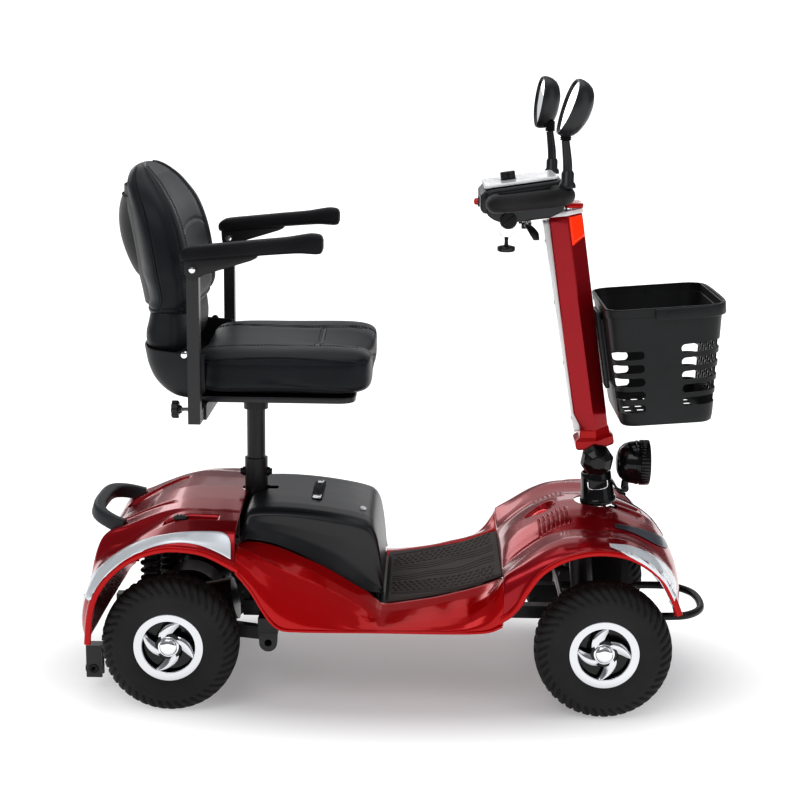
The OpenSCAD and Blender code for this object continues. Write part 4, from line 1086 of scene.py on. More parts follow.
# the grained bowl behind the cushion
levels = [(583.5, 0.80, -404), (586, 0.86, -424), (592, 0.91, -441), (604, 0.95, -458), (622, 0.975, -473),
          (645, 0.99, -483), (664, 0.997, -487), (676, 1.0, -489), (680, 1.0, -489.5)]
rows = []
for z, wide, back in levels:
    half = 219 * wide
    t = np.linspace(-1, 1, 121)
    corner = (1 - np.abs(t) ** 3.2) ** 0.5
    front_x = -366 - (600 - z) * 0.9 * (z < 600)
    xs = front_x + (back - front_x) * np.clip(corner, 0, 1)
    rim = -9.0 * (z > 660) * (xs + 489) / 120 * (z - 660) / 20
    rows.append(np.c_[xs, half * power(np.sin(t * math.pi / 2), 0.8), z + rim])
bowl = piece("seat_bowl", skin(spline(np.array(rows), 46)[:, ::-1]), "seat", "grained_plastic",
             replaces=["seat_shell"], smooth=60)
thicken(bowl, 4.0, -1)
bevel(bowl, 1.2, 2, 50)
tray = slab(round_box(296, 404, 30), 580.4, 592, 2)
piece("seat_tray", moved(tray, shift(-240, 0, 0)), "seat", "satin_plastic", slot="textured_plastic")
bolt = turned([(0, 0), (7.4, 0), (7.4, 2.6), (5.6, 5.2), (0, 6.0)], 32)
recess = turned([(0, 6.2), (2.6, 6.2), (2.6, 5.0), (0, 5.0)], 6)
for side, s in SIDES.items():
    piece(f"hinge_bolt_{side}", moved(merge(bolt, recess), facing((0, s, 0), (-402, s * 218, 671))),
          "seat", "chrome")
    for k, px in enumerate((-340, -150)):
        head = turned([(0, 0), (6, 0), (6, -4), (0, -4)], 6)
        piece(f"tray_bolt_{side}_{k}", moved(head, shift(px, s * 150, 580.5)), "seat", "zinc")

# ---------------------------------------------------------------- backrest

BACK = np.array([(735, 168, -404, -482), (740, 182, -401, -486), (752, 194, -399, -490),
                 (775, 204, -399, -494), (810, 212, -403, -502), (850, 213.5, -409, -509),
                 (890, 209, -418, -516), (925, 198, -430, -522), (952, 181, -445, -526),
                 (974, 158, -460, -527), (991, 126, -477, -523), (1000, 92, -489, -517),
                 (1004, 50, -496, -511)], float)
rows, cols = 150, 200
level = spline(BACK, rows)
z, half, front_x, back_x = (level[:, k:k + 1] for k in range(4))
a = circle(cols)[None]
y = half * power(np.sin(a), 0.62)
x = (front_x + back_x) / 2 + (front_x - back_x) / 2 * power(np.cos(a), 0.62)
x = x + 20 * (y / 214) ** 2 * ramp(z, 730, 40) * (1 - 0.3 * ramp(z, 930, 70))
grid = np.stack([x, y, z + 0 * a], 2)
ang = (a + math.pi) % (2 * math.pi) - math.pi
face = 0 * z
for at, depth, wide in ((32, 2.6, 1.7), (57, 2.2, 1.5), (100, 1.6, 1.6)):
    face = face + depth * hump(np.abs(ang) - math.radians(at), math.radians(wide))
cross = 2.4 * hump(z - 868 - 26 * np.cos(ang * 2), 2.2) * (np.abs(ang) < math.radians(32))
hem = 2.2 * hump(z - 748, 2.0)
puff = -3.0 * hump(np.abs(ang) - math.radians(44), math.radians(9))
crease = 0.6 * np.sin(z / 7 + 3 * np.cos(a * 3)) * hump(z - 800, 34) * (np.abs(ang) > 0.9)
grid = grid - normals(grid) * (face + cross + hem + puff + crease)[:, :, None]
back_pad = solid("backrest_pad", skin(grid, around=True, caps=True), "backrest", "leather",
                 replaces=["backrest_cushion"], smooth=60)
back_pad.data.materials.append(LOOKS["leather_insert"])
insert_faces = [p for p in back_pad.data.polygons
                if p.center.x / MM > -470 and abs(p.center.y / MM) < 104 and 760 < p.center.z / MM < 992]
for p in insert_faces:
    p.material_index = 1
seams = []
for degrees in (57, 100):
    col = int(round(degrees / 360 * cols))
    for c in (col, cols - col):
        seams.append(tube(grid[8:140, c] + normals(grid)[8:140, c] * 0.6, 1.5, 8))
piece("backrest_piping", merge(*seams), "backrest", "leather_insert")
dashes = []
for degrees in (27, 36, 61, 104, 96):
    col = int(round(degrees / 360 * cols))
    for c in (col, cols - col):
        dashes.append(stitches(grid[10:138, c] + normals(grid)[10:138, c] * 0.35))
piece("backrest_thread", merge(*dashes), "backrest", "thread")

# neck shell between the bowl and the pad
NECK = np.array([(658, 176, -424, -470), (668, 190, -408, -480), (684, 196, -402, -487),
                 (702, 194, -400, -488), (720, 190, -401, -484), (738, 186, -404, -480),
                 (742, 184, -408, -478)], float)
level = spline(NECK, 40)
z, half, front_x, back_x = (level[:, k:k + 1] for k in range(4))
y = half * power(np.sin(a), 0.55)
x = (front_x + back_x) / 2 + (front_x - back_x) / 2 * power(np.cos(a), 0.62)
solid("backrest_neck", skin(np.stack([x, y, z + 0 * a], 2), around=True, caps=True),
      "backrest", "grained_plastic", replaces=["backrest_shell"], smooth=60)

# cloth back and its pocket
def back_sheet(z0, z1, half, lift, belly=0.0):
    """A cloth panel over the rear of the pad, from z0 up to z1."""
    zs = np.linspace(z0, z1, 40)[:, None]
    t = np.linspace(-1, 1, 61)[None]
    edge = np.interp(zs, BACK[:, 0], BACK[:, 1])
    w = np.minimum(half, edge - 22)
    back = np.interp(zs, BACK[:, 0], BACK[:, 3])
    ys_line = w * t
    shape = back + 20 * (ys_line / 214) ** 2 + 16 * np.abs(t) ** 4 - lift * (1 - t**4)
    s = (zs - z0) / (z1 - z0)
    bag = belly * np.sin(math.pi * s) ** 0.7 * (1 - t**6)
    ripple = 0.8 * np.sin(t * 21 + 2 * s) * (1 - np.abs(t)) * (belly > 0)
    return np.stack([shape - bag + ripple, ys_line + 0 * zs, zs + 0 * t], 2)


cloth = piece("backrest_cloth", skin(back_sheet(752, 968, 176, 9)[:, ::-1]), "backrest", "mesh_cloth",
              smooth=60)
thicken(cloth, 1.6, -1)
pouch = piece("backrest_pocket", skin(back_sheet(800, 950, 150, 11, 20)[:, ::-1]), "backrest",
              "mesh_cloth", smooth=60)
thicken(pouch, 1.6, -1)
hem_line = back_sheet(800, 950, 150, 12, 20)[-1]
piece("pocket_hem", tube(hem_line, 2.6, 10), "backrest", "webbing")

# ---------------------------------------------------------------- armrests

ARM = np.array([(-398, 858, 5, 14), (-396, 858, 16, 20), (-389, 860, 23, 24.5), (-376, 862.5, 26, 26),
                (-330, 867, 27, 26), (-270, 873, 27.5, 26), (-215, 878, 28.5, 26), (-188, 881, 31.5, 26),
                (-170, 882, 35, 25.5), (-157, 881.5, 35, 24), (-149.5, 881, 30, 21),
                (-146.5, 881, 18, 14)], float)
level = spline(ARM, 110)
x, mid, tall, half = (level[:, k:k + 1] for k in range(4))
a = circle(64)[None]
pad_y = half * power(np.cos(a), 0.5)
pad_z = mid + tall / 2 * power(np.sin(a), 0.6)
arm_grid = np.stack([x + 0 * a, pad_y, pad_z], 2)
ARM_Y = 268
ARM_PIVOT_X, ARM_PIVOT_Z = -376, 835
bracket_side = [(-391, 832), (-389, 824), (-382, 819), (-373, 818), (-364, 821), (-356, 826), (-330, 834),
                (-272, 852), (-262, 857), (-262, 864), (-392, 852)]
for side, s in SIDES.items():
    arm_y = s * ARM_Y
    at = shift(0, arm_y, 0)
    pad = solid(f"arm_pad_{side}", moved(skin(arm_grid, around=True, caps=True), at),
                f"armrest_{side}", "pad_foam", replaces=[f"armrest_{side}"], smooth=60)
    for e in (-1, 1):
        plate = stood_up(slab(bracket_side, 0, 3.4, 0.6, 2), arm_y + e * 14 - 1.7)
        solid(f"arm_bracket_{side}_{'in' if e == -s else 'out'}", plate, f"armrest_{side}", "powder_black")
    for e in (-1, 1):
        bolt_at = facing((0, e, 0), (ARM_PIVOT_X, arm_y + e * 15.6, ARM_PIVOT_Z))
        piece(f"arm_bolt_{side}_{'in' if e == -s else 'out'}", moved(merge(bolt, recess), bolt_at),
              f"armrest_{side}", "chrome")
    shaft = turned([(0, -15), (4, -15), (4, 15), (0, 15)], 24)
    piece(f"arm_pin_{side}", moved(shaft, facing((0, 1, 0), (ARM_PIVOT_X, arm_y, ARM_PIVOT_Z))),
          f"armrest_{side}", "zinc")
    # the clamp knob with its threaded rod
    low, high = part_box(f"armrest_knob_{side}")
    mid_y, mid_z = ((low + high) / 2 / MM)[1:]
    t = circle(96)
    radius = 15.6 + 1.1 * np.cos(8 * t) - 0.9 * np.abs(np.sin(4 * t)) ** 6
    star = np.c_[radius * np.cos(t), radius * np.sin(t)]
    knob = slab(star, 0, 13, 2.2)
    piece(f"clamp_knob_{side}", moved(merge(knob, turned([(0, 13), (8, 13), (7, 18), (0, 18)], 32)),
                                      facing((1, 0, 0), (-429, mid_y, mid_z))),
          f"arm_clamp_{side}", "satin_plastic", replaces=[f"armrest_knob_{side}"])
    profile = [(0, 0)] + [(3.9 - 0.55 * (k % 2), 1.1 * k) for k in range(1, 22)] + [(0, 23.5)]
    piece(f"clamp_thread_{side}", moved(turned(profile, 24),
                                        facing((1, 0, 0), (-413, mid_y, mid_z))), f"arm_clamp_{side}",
          "zinc", smooth=30)


# ---------------------------------------------------------------- tiller

TILT_X, TILT_Z = 370.5, 446  # the tilt hinge
TILLER = lean(TILT_X, TILT_Z, 9.2)


def hexagon(rear, front, wide, ridge=4.0, n=5):
    """The tiller's section: flat front and rear faces and a ridge along each side, all corners eased."""
    corners = np.array([(front, 21), (ridge, wide), (rear, wide * 0.62), (rear, -wide * 0.62), (ridge, -wide),
                        (front, -21)], float)
    out = []
    for k, c in enumerate(corners):
        before, after = corners[k - 1] - c, corners[(k + 1) % 6] - c
        before, after = before / np.linalg.norm(before), after / np.linalg.norm(after)
        for f in np.linspace(0, 1, n):
            out.append(c + (1 - f) ** 2 * before * 3.2 + f**2 * after * 3.2)
    return np.array(out)


def tiller_skin(stations):
    """The tiller through (height, rear, front, half width) stations."""
    grid = np.array([np.c_[hexagon(-r, f, w), np.full(30, s)] for s, r, f, w in stations])
    return skin(grid, around=True, caps=True)


cover = tiller_skin([(38, 16, 28, 40), (39.5, 19, 30.5, 43), (60, 20.5, 32, 45), (92, 31.3, 32.4, 45.2),
                     (200, 31.5, 33.3, 45.7), (340, 30.8, 34.4, 46.4), (462, 29.4, 35.4, 47),
                     (472, 29.2, 35.2, 46.8), (476, 28, 34, 45.6)])
solid("tiller_shell", moved(cover, TILLER), "tiller", "red_paint", replaces=["tiller_cover"], smooth=30)
collar = tiller_skin([(20, 33, 37.5, 48.5), (23, 35.5, 40, 51), (37, 35.5, 40, 51), (40, 32.5, 37, 48),
                      (43, 26, 34.5, 46), (56, 23.5, 33.5, 45.8), (58, 21, 31.5, 44)])
solid("tiller_collar", moved(collar, TILLER), "tiller", "bright_red", smooth=30)
rail = slab(round_box(47, 416, 8), 0, 12, 2.2)
rail_at = TILLER @ shift(-25.2, 0, 262) @ spin(-0.8, "Y") @ facing((-1, 0, 0))
piece("tiller_back_panel", moved(rail, rail_at), "tiller", "white_paint", replaces=["tiller_rear_panel"])
screw = turned([(0, 0), (3.6, 0), (3.6, 1.2), (2.4, 2.0), (1.2, 2.0), (1.2, 1.0), (0, 1.0)], 24)
screws = [moved(screw, TILLER @ shift(-37.0 - 0.014 * (s - 262), 0, s) @ facing((-1, 0, 0)))
          for s in (80, 190, 310, 430)]
piece("tiller_screws", merge(*screws), "tiller", "zinc")
head = tiller_skin([(476, 29, 37, 47.5), (478, 30, 38, 48.5), (482, 30, 38, 48.5), (484, 29, 37, 47.5)])
solid("tiller_rim", moved(head, TILLER), "tiller", "white_paint", smooth=30)
cap = slab(round_box(36, 84, 10), 0, 9, 2.5)
piece("tiller_cap", moved(cap, TILLER @ shift(20, 0, 488) @ spin(9, "Y")), "tiller", "bright_red")
for side, s in SIDES.items():
    quad = []
    for f in np.linspace(0, 1, 9):
        p = 6.5 + 25.5 * f
        wide = 47 + (21 - 47) * (p - 4) / 31
        quad.append([(p + 1.3, s * (wide + 1.6), top) for top in np.linspace(419 + 12 * f, 473, 9)])
    glass = skin(np.array(quad) if s < 0 else np.array(quad)[::-1])
    amber = piece(f"amber_reflector_{side}", moved(glass, TILLER), "tiller", "amber_lens")
    thicken(amber, 2.6, 0)
neck_tube = [moved(turned([(0, 470), (8, 470), (8, 528), (0, 528)], 32), TILLER @ shift(12, s * 16, 0))
             for s in (-1, 1)]
piece("tiller_stays", merge(*neck_tube), "tiller", "chrome")

# ---------------------------------------------------------------- column, tilt knob and headlight

COLUMN = lean(TILT_X, TILT_Z, 6.5)
cup = turned([(15, -97), (33.5, -97), (35.5, -95), (36, -88), (34.6, -86), (33.4, -84), (30.5, -50),
              (29.6, -36), (28, -34), (25.5, -34), (25, -37), (24, -60), (15, -60)], 96, ring=True)
solid("column_cup", moved(cup, COLUMN), "column", "gloss_black", replaces=["steering_column"])
ring = turned([(15, -104), (25.5, -104), (27, -102.5), (27, -99), (25.5, -97.5), (15, -97.5)], 96, ring=True)
solid("column_ring", moved(ring, COLUMN), "column", "chrome")
shaft = turned([(0, -285), (12, -285), (12, -92), (0, -92)], 48)
solid("column_shaft", moved(shaft, COLUMN), "column", "zinc")
cheeks = []
for s in (-1, 1):
    outline = [(-14, -44)] + [(18 * math.cos(b), 18 * math.sin(b))
                              for b in np.linspace(math.pi, 0, 24)] + [(14, -44)]
    cheeks.append(stood_up(slab(outline[::-1], -5, 5, 1, 2), s * 20))
solid("column_cheeks", moved(merge(*cheeks), COLUMN), "column", "gloss_black")
clip_path = [(-19, -34.2, -48), (-18, -35, -60), (-9, -36.2, -63), (9, -36.2, -63), (18, -35, -60),
             (19, -34.2, -48)]
clips = tube([(x, -abs(math.sqrt(max(1, 32.6**2 - x**2))) - 0.4, z) for x, _, z in clip_path], 1.3, 8, 30)
piece("column_clip", moved(both(clips), COLUMN), "column", "polished", slot="chrome")
arm_path = [(391, 0, 398), (404, 0, 396), (412, 0, 386), (420, 0, 374), (433, 0, 369)]
arms = [moved(tube(arm_path, 1, count=30, section=round_box(12, 4, 1.5, 3)), shift(0, s * 12, 0))
        for s in (-1, 1)]
piece("light_bracket", merge(*arms), "column", "powder_black")

KNOB = shift(TILT_X, 0, TILT_Z) @ facing((0, -1, 0))
facets = []
for r, h in ((0, 28), (19, 28), (24, 31), (32, 42), (33, 54), (27.5, 68), (16, 77), (14, 78.5), (0, 78.5)):
    facets.append([(r * math.cos(a + 0.2), r * math.sin(a + 0.2), h) for a in circle(8)])
ball = skin(np.array(facets), around=True, caps=True)
knob = solid("tilt_clamp_knob", moved(ball, KNOB), "tilt_clamp", "gloss_black", replaces=["tilt_knob"],
             smooth=20)
bevel(knob, 2.2, 3, 15)
shaft = turned([(0, -34), (10, -34), (10, -26), (6, -26), (6, 30), (0, 30)], 32)
solid("tilt_bolt", moved(shaft, KNOB), "tilt_clamp", "zinc")

LIGHT = facing((1, 0, 0), (445, 0, 431))
LIGHT_HINGE = facing((0, 1, 0), (433, 0, 379))
bowl_profile = [(0, -32), (10, -31.4), (20, -29), (29, -24.5), (36, -17), (40.5, -7), (42.2, 4), (42.6, 6),
                (43.4, 6.6), (43.6, 10), (42.4, 11), (42.4, 14)]
bezel_profile = [(42.4, 13), (44.2, 14), (44.6, 17), (44.6, 30), (43.6, 32.6), (40.6, 33), (38.6, 31.5),
                 (38.2, 24), (40.5, 20)]
bezel = turned(bezel_profile, 144, ring=True)
verts, faces = bezel
turn = np.arctan2(verts[:, 1], verts[:, 0])
rad = np.hypot(verts[:, 0], verts[:, 1])
rib = 1 - 0.028 * (np.cos(turn * 36) > 0.2) * (rad > 43.8) * (verts[:, 2] > 15) * (verts[:, 2] < 32)
verts[:, :2] *= rib[:, None]
solid("light_shell", moved(turned(bowl_profile + [(0, 14)], 96), LIGHT), "headlight", "gloss_black",
      replaces=["headlight"])
solid("light_bezel", moved((verts, faces), LIGHT), "headlight", "gloss_black", smooth=30)
dish = turned([(0, 15), (8, 15.5), (20, 18), (32, 23), (38, 28), (38, 26), (30, 20), (0, 14.5)], 96)
solid("light_dish", moved(dish, LIGHT), "headlight", "chrome")
bulb = turned([(0, 15), (4, 16), (5.5, 20), (4, 24), (0, 25.5)], 32)
solid("light_bulb", moved(bulb, LIGHT), "headlight", "white_paint")
glass = turned([(0, 28.5), (38.4, 28.5), (38.4, 30.4), (30, 31.6), (16, 32.4), (0, 32.8)], 96)
solid("light_glass", moved(glass, LIGHT), "headlight", "clear", smooth=50)
fork = [tube([(433, 0, 379), (433, 0, 392), (437, 0, 402)], [8, 7, 6], 20, 12),
        moved(turned([(0, -9.4), (7, -9.4), (7, 9.4), (0, 9.4)], 32), LIGHT_HINGE),
        moved(turned([(0, -17.5), (3.2, -17.5), (3.2, 17.5), (0, 17.5)], 24), LIGHT_HINGE)]
solid("light_foot", merge(*fork), "headlight", "satin_plastic")

# ---------------------------------------------------------------- console and bar


def across(outline, y0, y1, edge=2.0):
    """A side-view outline of (x, z) made solid from y0 to y1."""
    return stood_up(slab(outline, y0, y1, edge))


def eased(corners, r=4.0, n=4):
    """An outline whose corners are rounded by r."""
    c = np.array(corners, float)
    out = []
    for k in range(len(c)):
        a, b = c[k - 1] - c[k], c[(k + 1) % len(c)] - c[k]
        la, lb = np.linalg.norm(a), np.linalg.norm(b)
        q = min(r, la / 2.2, lb / 2.2)
        for f in np.linspace(0, 1, n):
            out.append(c[k] + (1 - f) ** 2 * a / la * q + f**2 * b / lb * q)
    return np.array(out)


body_side = eased([(146, 921), (158, 912), (178, 905.5), (262, 917), (288, 930), (291, 952), (290, 978),
                   (284, 988), (150, 967.5), (144, 960)], 5)
solid("console_body", across(body_side, -104, 104, 5), "tiller", "satin_plastic",
      replaces=["console_housing"])
cap_side = eased([(134, 930), (140, 923.5), (152, 922), (152, 966), (142, 965), (134, 957)], 3)
solid("console_rear", across(cap_side, -98, 98, 4), "tiller", "satin_plastic")
ribs = []
for k in range(5):
    z0 = 958.5 - 4.6 * k
    ribs.append(across(eased([(156, z0), (286, z0 + 19.6 - 0.7 * k), (286, z0 + 21.6 - 0.7 * k),
                              (156, z0 + 2)], 0.8, 3), -105.6, -102, 0.6))
solid("console_ribs", both(merge(*ribs)), "tiller", "satin_plastic")
DASH = shift(138, 0, 968.6) @ spin(-8.7, "Y")
top_plate = slab(round_box(138, 193, 12), -0.6, 4.6, 1.6)
dash = piece("dash_top", moved(top_plate, DASH @ shift(72, 0, 0)), "tiller", "white_paint",
             replaces=["dash_panel"])
outward(dash)
DIAL = DASH @ shift(52, 0, 0)
cut(dash, moved(turned([(0, -4), (15.2, -4), (15.2, 12), (0, 12)], 64), DIAL))
t = circle(140)
flute = 13.6 + 0.55 * np.sign(np.cos(14 * t)) * np.abs(np.cos(14 * t)) ** 0.3
dial = slab(np.c_[flute * np.cos(t), flute * np.sin(t)], 4.8, 19.4, 1.3)
dial_base = turned([(0, 1), (14.6, 1), (14.6, 5.6), (0, 5.6)], 64)
dial_shaft = turned([(0, -10), (5, -10), (5, 3), (0, 3)], 24)
solid("dial_knob", moved(merge(dial, dial_base, dial_shaft), DIAL), "dial", "satin_plastic",
      replaces=["speed_dial"], smooth=35)
pointer = slab(round_box(9, 1.6, 0.7), 19.2, 20.1, 0.3)
piece("dial_pointer", moved(pointer, DASH @ shift(47, 0, 0)), "dial", "white_paint")
HORN = facing((1, 0, 0), (134, 0, 938))
horn = turned([(0, 2), (6.6, 2), (6.6, -6), (6.0, -8.4), (3.6, -9.8), (0, -10.3)], 48)
solid("horn_cap", moved(horn, HORN), "horn", "red_button", replaces=["horn_button"], smooth=50)
collar = turned([(6.9, -2.5), (9.6, -2.5), (10.2, -1), (10.2, 3), (6.9, 3)], 48, ring=True)
solid("horn_collar", moved(collar, HORN), "tiller", "satin_plastic")
SOCKET = facing((0, -1, 0), (186, 0, 912))
hood = turned([(8, 70), (15.6, 70), (16.2, 72), (16.6, 102), (16.0, 105), (14.4, 106), (8, 106)], 64,
              ring=True)
solid("socket_hood", moved(hood, SOCKET), "tiller", "satin_plastic")
flap = turned([(0, 106.2), (14.2, 106.2), (14.4, 107.6), (13.4, 108.6), (0, 109.2)], 64)
solid("socket_flap", moved(flap, SOCKET), "tiller", "rubber")
slash = moved(slab(round_box(27, 2.2, 1.0), 107.9, 109.9, 0.4), SOCKET @ spin(42, "Z"))
piece("socket_slash", slash, "tiller", "gloss_black")
THROTTLE_AXIS = facing((0, 1, 0), (222, 0, 900))
lug = slab(round_box(18, 8, 3), 0, 11, 1)
lugs = solid("throttle_lugs", both(moved(lug, shift(222, 50, 892))), "tiller", "satin_plastic")
cut(lugs, moved(turned([(0, -70), (4.4, -70), (4.4, 70), (0, 70)], 32), THROTTLE_AXIS))

BAR = [(162, 105, 946), (161, 128, 946.4), (157, 165, 947.5), (157.5, 190, 948.5), (163, 208, 950),
       (182, 223, 953), (212, 228, 957), (245, 226, 961), (270, 212, 964), (284, 184, 965), (284, 158, 965),
       (276, 132, 964.3), (272, 105, 964)]
foam = tube(BAR, [15.2, 16.2, 16.4, 16.4, 16.4, 16.4, 16.4, 16.4, 16.2, 15.2], 36, 150)
solid("bar_foam", both(foam), "tiller", "foam", replaces=["handlebar_loop"], smooth=60)
for side, s in SIDES.items():
    paddle = [(222, s * 66, 900), (225, s * 80, 899), (230, s * 98, 894), (234, s * 113, 888),
              (237, s * 127, 880)]
    blade = tube(paddle, [5, 7.4, 9, 9.4, 6.5], count=40, section=round_box(1.8, 0.66, 0.3, 4))
    solid(f"throttle_paddle_{side}", blade, "throttle", "satin_plastic",
          replaces=["throttle_lever"] if s < 0 else [])
rod_part = turned([(0, -70), (4, -70), (4, 70), (0, 70)], 24)
piece("throttle_rod", moved(rod_part, THROTTLE_AXIS), "throttle", "zinc")
KEY_X, KEY_Y = 185, -60
disc = turned([(0, -6), (12, -6), (16, -4.6), (17, -2), (17, 2), (16, 4.4), (11, 5.8), (5, 6.2), (3.8, 8),
               (3.4, 14), (3.8, 20), (3.0, 22), (0, 22)], 64)
solid("key_disc", moved(disc, shift(KEY_X, KEY_Y, 855)), "key", "satin_plastic",
      replaces=["safety_key"], smooth=50)
b, c = circle(64)[:, None], circle(12)[None]
reach = 12.6 + 0.9 * np.cos(c)
grid = np.stack([KEY_X + reach * np.cos(b), KEY_Y + 0.9 * np.sin(c) + 0 * b, 888.5 + reach * np.sin(b)], 2)
solid("key_ring", skin(grid, around=True, wrap=True), "key", "clear", smooth=60)

# ---------------------------------------------------------------- mirrors

STEM_X, STEM_Y = 285, 196
for side, s in SIDES.items():
    base = shift(STEM_X, s * STEM_Y, 0)
    boot = turned([(0, 980), (15, 980), (15.4, 983), (14, 988), (11.4, 991), (11.4, 1006), (10.2, 1008),
                   (9.6, 1010), (0, 1010)], 48)
    stem = tube([(STEM_X, s * STEM_Y, 1004), (STEM_X - 1, s * STEM_Y, 1025), (281.5, s * 197.5, 1046),
                 (279, s * 199, 1064)], [8.6, 8.4, 7.8, 7.2], 32, 30)
    solid(f"mirror_post_{side}", merge(moved(boot, base), stem), f"mirror_arm_{side}",
          "satin_plastic", replaces=[f"mirror_stem_{side}"], smooth=45)
    turn_out = 12 if s < 0 else 10
    at = shift(290 if s < 0 else 266, s * 212, 1121) @ spin(turn_out, "Z") @ spin(19 if s < 0 else 8, "Y")
    around = 96
    b = circle(around)
    wide = 33 + 5.5 * np.sin(b)
    edge = np.c_[s * (wide * np.cos(b) * (1 - 0.16 * (np.sin(b) < 0) * np.sin(b) ** 2)),
                 50 * power(np.sin(b), 0.9)]
    edge[:, 0] += -s * 7 * (np.sin(b) < 0) * np.sin(b) ** 2
    rows = []
    for f, depth in ((1.0, -11), (1.035, -7), (1.04, 0), (1.0, 9), (0.9, 18), (0.74, 24), (0.5, 28.5),
                     (0.25, 30.5), (0.02, 31)):
        rows.append(np.c_[np.full(around, depth), edge * f])
    for f, depth in ((1.0, -11), (0.95, -10.6), (0.93, -7), (0.93, -5)):
        rows.insert(0, np.c_[np.full(around, depth), edge * f])
    shell = skin(np.array(rows), around=True, caps=True)
    solid(f"mirror_shell_{side}", moved(shell, at), f"mirror_{side}", "satin_plastic",
          replaces=[f"mirror_head_{side}"], smooth=50)
    face = skin(np.array([np.c_[np.full(around, -7.4 - 0.6 * (1 - f * f)), edge * f * 0.935]
                          for f in (1, 0.8, 0.6, 0.4, 0.2, 0.01)]), around=True, caps=True)
    solid(f"mirror_glass_{side}", moved(face, at), f"mirror_{side}", "mirror", smooth=60)
    joint = shift(279.5, s * 199, 1072) @ spin(-s * 6, "X")
    bellows = [(0, -9)] + [(9.6 + 1.1 * math.cos(k * math.pi), -7 + 1.9 * k) for k in range(11)] + [(0, 13)]
    solid(f"mirror_boot_{side}", moved(turned(bellows, 40), joint), f"mirror_{side}", "rubber")

# ---------------------------------------------------------------- basket

RIMS = np.array([(540, 407, 572, 132, 26), (542, 404.5, 575, 134, 30), (552, 402.5, 577.5, 136.5, 33),
                 (640, 394, 588, 146, 35), (744, 385.5, 599, 156.5, 36), (748, 385, 599.5, 157, 36),
                 (749, 383, 602, 159, 37), (763, 382, 603, 160, 37), (765, 383.5, 601.5, 158.5, 36)], float)


def tub_rows(rows, inset):
    """The tub's outline at each (height, rear, front, half width, corner) row, drawn in by inset."""
    out = []
    for row in rows:
        line = round_box(row[2] - row[1] - 2 * inset, 2 * (row[3] - inset), max(2, row[4] - inset), 9)
        ring = np.concatenate([line, line[:1]])
        far = np.concatenate([[0], np.cumsum(np.linalg.norm(np.diff(ring, axis=0), axis=1))])
        at = np.linspace(0, far[-1], 180, endpoint=False)
        out.append(np.c_[np.interp(at, far, ring[:, 0]) + (row[1] + row[2]) / 2,
                         np.interp(at, far, ring[:, 1]), np.full(180, row[0])])
    return out


WALL_THICK, FLOOR_LIFT = 3.2, 4
outer = tub_rows(RIMS, 0.0)
inner = tub_rows([row for row in RIMS[::-1] if row[0] > 545], WALL_THICK)
inner += tub_rows(RIMS[:1] + [FLOOR_LIFT, 0, 0, 0, 0], WALL_THICK)
shell = skin(np.array(outer + inner), around=True, caps=True)
TUB = shift(486, 0, 645) @ spin(-4.6, "Y") @ shift(-492, 0, -648)
tub = solid("basket_tub", moved(shell, TUB), "basket", "basket_plastic", replaces=["basket"], smooth=35)
SLOT = 16.5
cutters = []
for k in range(5):
    for x0, x1, z0, rise in ((380, 450, 573, 1.0), (518, 612, 584, 5.0)):
        z = z0 + 25.8 * k
        hole = slab(round_box(x1 - x0, SLOT, SLOT / 2 - 0.1, 8), -90, 90)
        tilt = math.atan2(rise, x1 - x0)
        m = shift((x0 + x1) / 2, 0, z) @ Matrix.Rotation(-tilt, 4, "Y") @ facing((0, -1, 0))
        for s in (-1, 1):
            cutters.append(moved(hole, shift(0, s * 188, 0) @ m))
for iy in range(-3, 4):
    for iz in range(5):
        for flip in (0, 1):
            y0, z0 = iy * 27 + 13.5 * flip, 590 + 25 * iz + 12.5 * flip
            if abs(y0) > 83 or z0 > 704:
                continue
            diamond = slab([(0, -10.4), (11.4, 0), (0, 10.4), (-11.4, 0)], -40, 40)
            cutters.append(moved(diamond, shift(592, y0, z0) @ facing((1, 0, 0))))
for ix in range(6):
    for iy in range(-3, 4):
        cutters.append(moved(slab(round_box(14, 26, 3), -12, 12), shift(430 + 24 * ix, iy * 34, 541)))
cut(tub, moved(merge(*cutters), TUB))
handle = [(472, 165.4, 753), (500, 165.8, 753), (545, 165.2, 753), (579, 158.5, 753.5), (599, 139, 754),
          (606.5, 105, 754.5), (608, 50, 755), (608, 0, 755)]
strip = tube(round_trip(handle), 1, count=160, section=round_box(5.4, 22, 2.6, 4))
pins = [moved(turned([(0, 148), (3, 148), (3, 167), (6.5, 167), (6.5, 169.4), (0, 170)], 32),
              facing((0, s, 0), (482, 0, 748))) for s in (-1, 1)]
solid("basket_grip", merge(moved(strip, TUB), *pins), "basket_handle", "basket_plastic",
      replaces=["basket_handle"], smooth=45)

rib_bars = [moved(slab(round_box(12, 120, 3), 0, 5, 1), TILLER @ shift(43, s * 36, 210)
                  @ facing((1, 0, 0))) for s in (-1, 1)]
plate = moved(slab(round_box(84, 150, 6), 0, 8, 1.5), TILLER @ shift(35.5, 0, 210) @ facing((1, 0, 0)))
piece("basket_mount", merge(plate, *rib_bars), "tiller", "satin_plastic", slot="black_steel",
      replaces=["basket_bracket"])


# ---------------------------------------------------------------- grab handle, bumper, springs and rollers

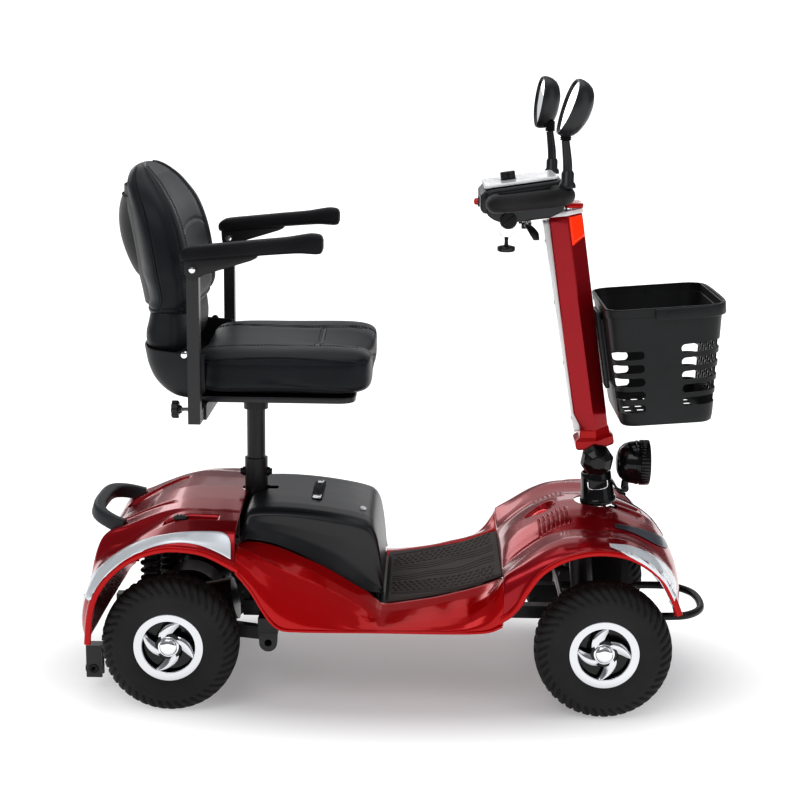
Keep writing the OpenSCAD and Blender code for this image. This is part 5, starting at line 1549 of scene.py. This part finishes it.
GRAB = [(-538, 120, 318), (-552, 118, 322), (-567, 111, 327), (-583, 97, 332), (-594, 76, 336),
        (-599, 45, 338.5), (-600, 0, 339)]
solid("grab_bar", tube(round_trip(GRAB), 1, count=130, section=round_box(24, 27, 7, 5)),
      "chassis", "handle_grey", replaces=["rear_grab_handle"], smooth=50)
BUMPER = [(384, 68, 146), (425, 68, 146), (448, 74, 146.4), (468, 92, 147), (482, 98, 147.5), (520, 98, 148),
          (548, 92, 148), (568, 76, 148), (582, 54, 148), (588, 30, 148), (590, 0, 148)]
solid("bumper_hoop", tube(round_trip(BUMPER), 7.5, 24, 160), "chassis", "powder_black",
      replaces=["front_bumper"], smooth=60)


def coil(x, y, z0, z1, radius, wire, turns):
    """A coil spring about Z with closed ends."""
    t = np.linspace(0, 1, int(turns * 26))
    lift = np.interp(t, [0, 0.08, 0.92, 1], [0, 0.035, 0.965, 1])
    a = 2 * math.pi * turns * t
    return tube(np.c_[x + radius * np.cos(a), y + radius * np.sin(a),
                      z0 + wire + (z1 - z0 - 2 * wire) * lift], wire, 10)


low, high = (np.array(corner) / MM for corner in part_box("rear_springs"))
middle = (low + high) / 2
reach = (high[0] - low[0]) / 2
springs = merge(*[coil(middle[0], s * (high[1] - reach), low[2], high[2], reach - 6, 4.6, 7.5)
                  for s in (-1, 1)])
springs = solid("rear_coils", springs, "chassis", "powder_black", slot="zinc_steel",
                replaces=["rear_springs"], smooth=60)
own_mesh(springs)
for side, s in SIDES.items():
    low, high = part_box(f"anti_tip_roller_{side}")
    c, r = (np.array(low) + np.array(high)) / 2 / MM, (high[0] - low[0]) / 2 / MM
    w = (high[1] - low[1]) / 2 / MM
    roller = turned([(5, -w), (r * 0.5, -w), (r * 0.62, -w * 0.8), (r * 0.8, -w * 0.8),
                     (r * 0.95, -w * 0.72), (r, -w * 0.45), (r, w * 0.45), (r * 0.95, w * 0.72),
                     (r * 0.8, w * 0.8), (r * 0.62, w * 0.8), (r * 0.5, w), (5, w)], 64, ring=True)
    solid(f"roller_{side}", moved(roller, facing((0, 1, 0), c)), f"anti_tip_{side}", "rubber",
          replaces=[f"anti_tip_roller_{side}"])
low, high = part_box("freewheel_lever")
middle = (np.array(low) + np.array(high)) / 2 / MM
knob = slab(round_box(26, 15, 4), 0, 8, 2.5)
ridge = slab(round_box(3, 12, 1), 6, 10, 0.8)
base = low[2] / MM
parts = [moved(knob, shift(-418, middle[1], base))]
parts += [moved(ridge, shift(-418 + d, middle[1], base)) for d in (-6, 0, 6)]
solid("freewheel_knob", merge(*parts), "freewheel", "satin_plastic", replaces=["freewheel_lever"])


# ---------------------------------------------------------------- frame finishes and finish

for cad_node, finish in CAD_LOOKS.items():
    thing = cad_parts[cad_node]
    thing.data.materials.clear()
    thing.data.materials.append(LOOKS[finish])
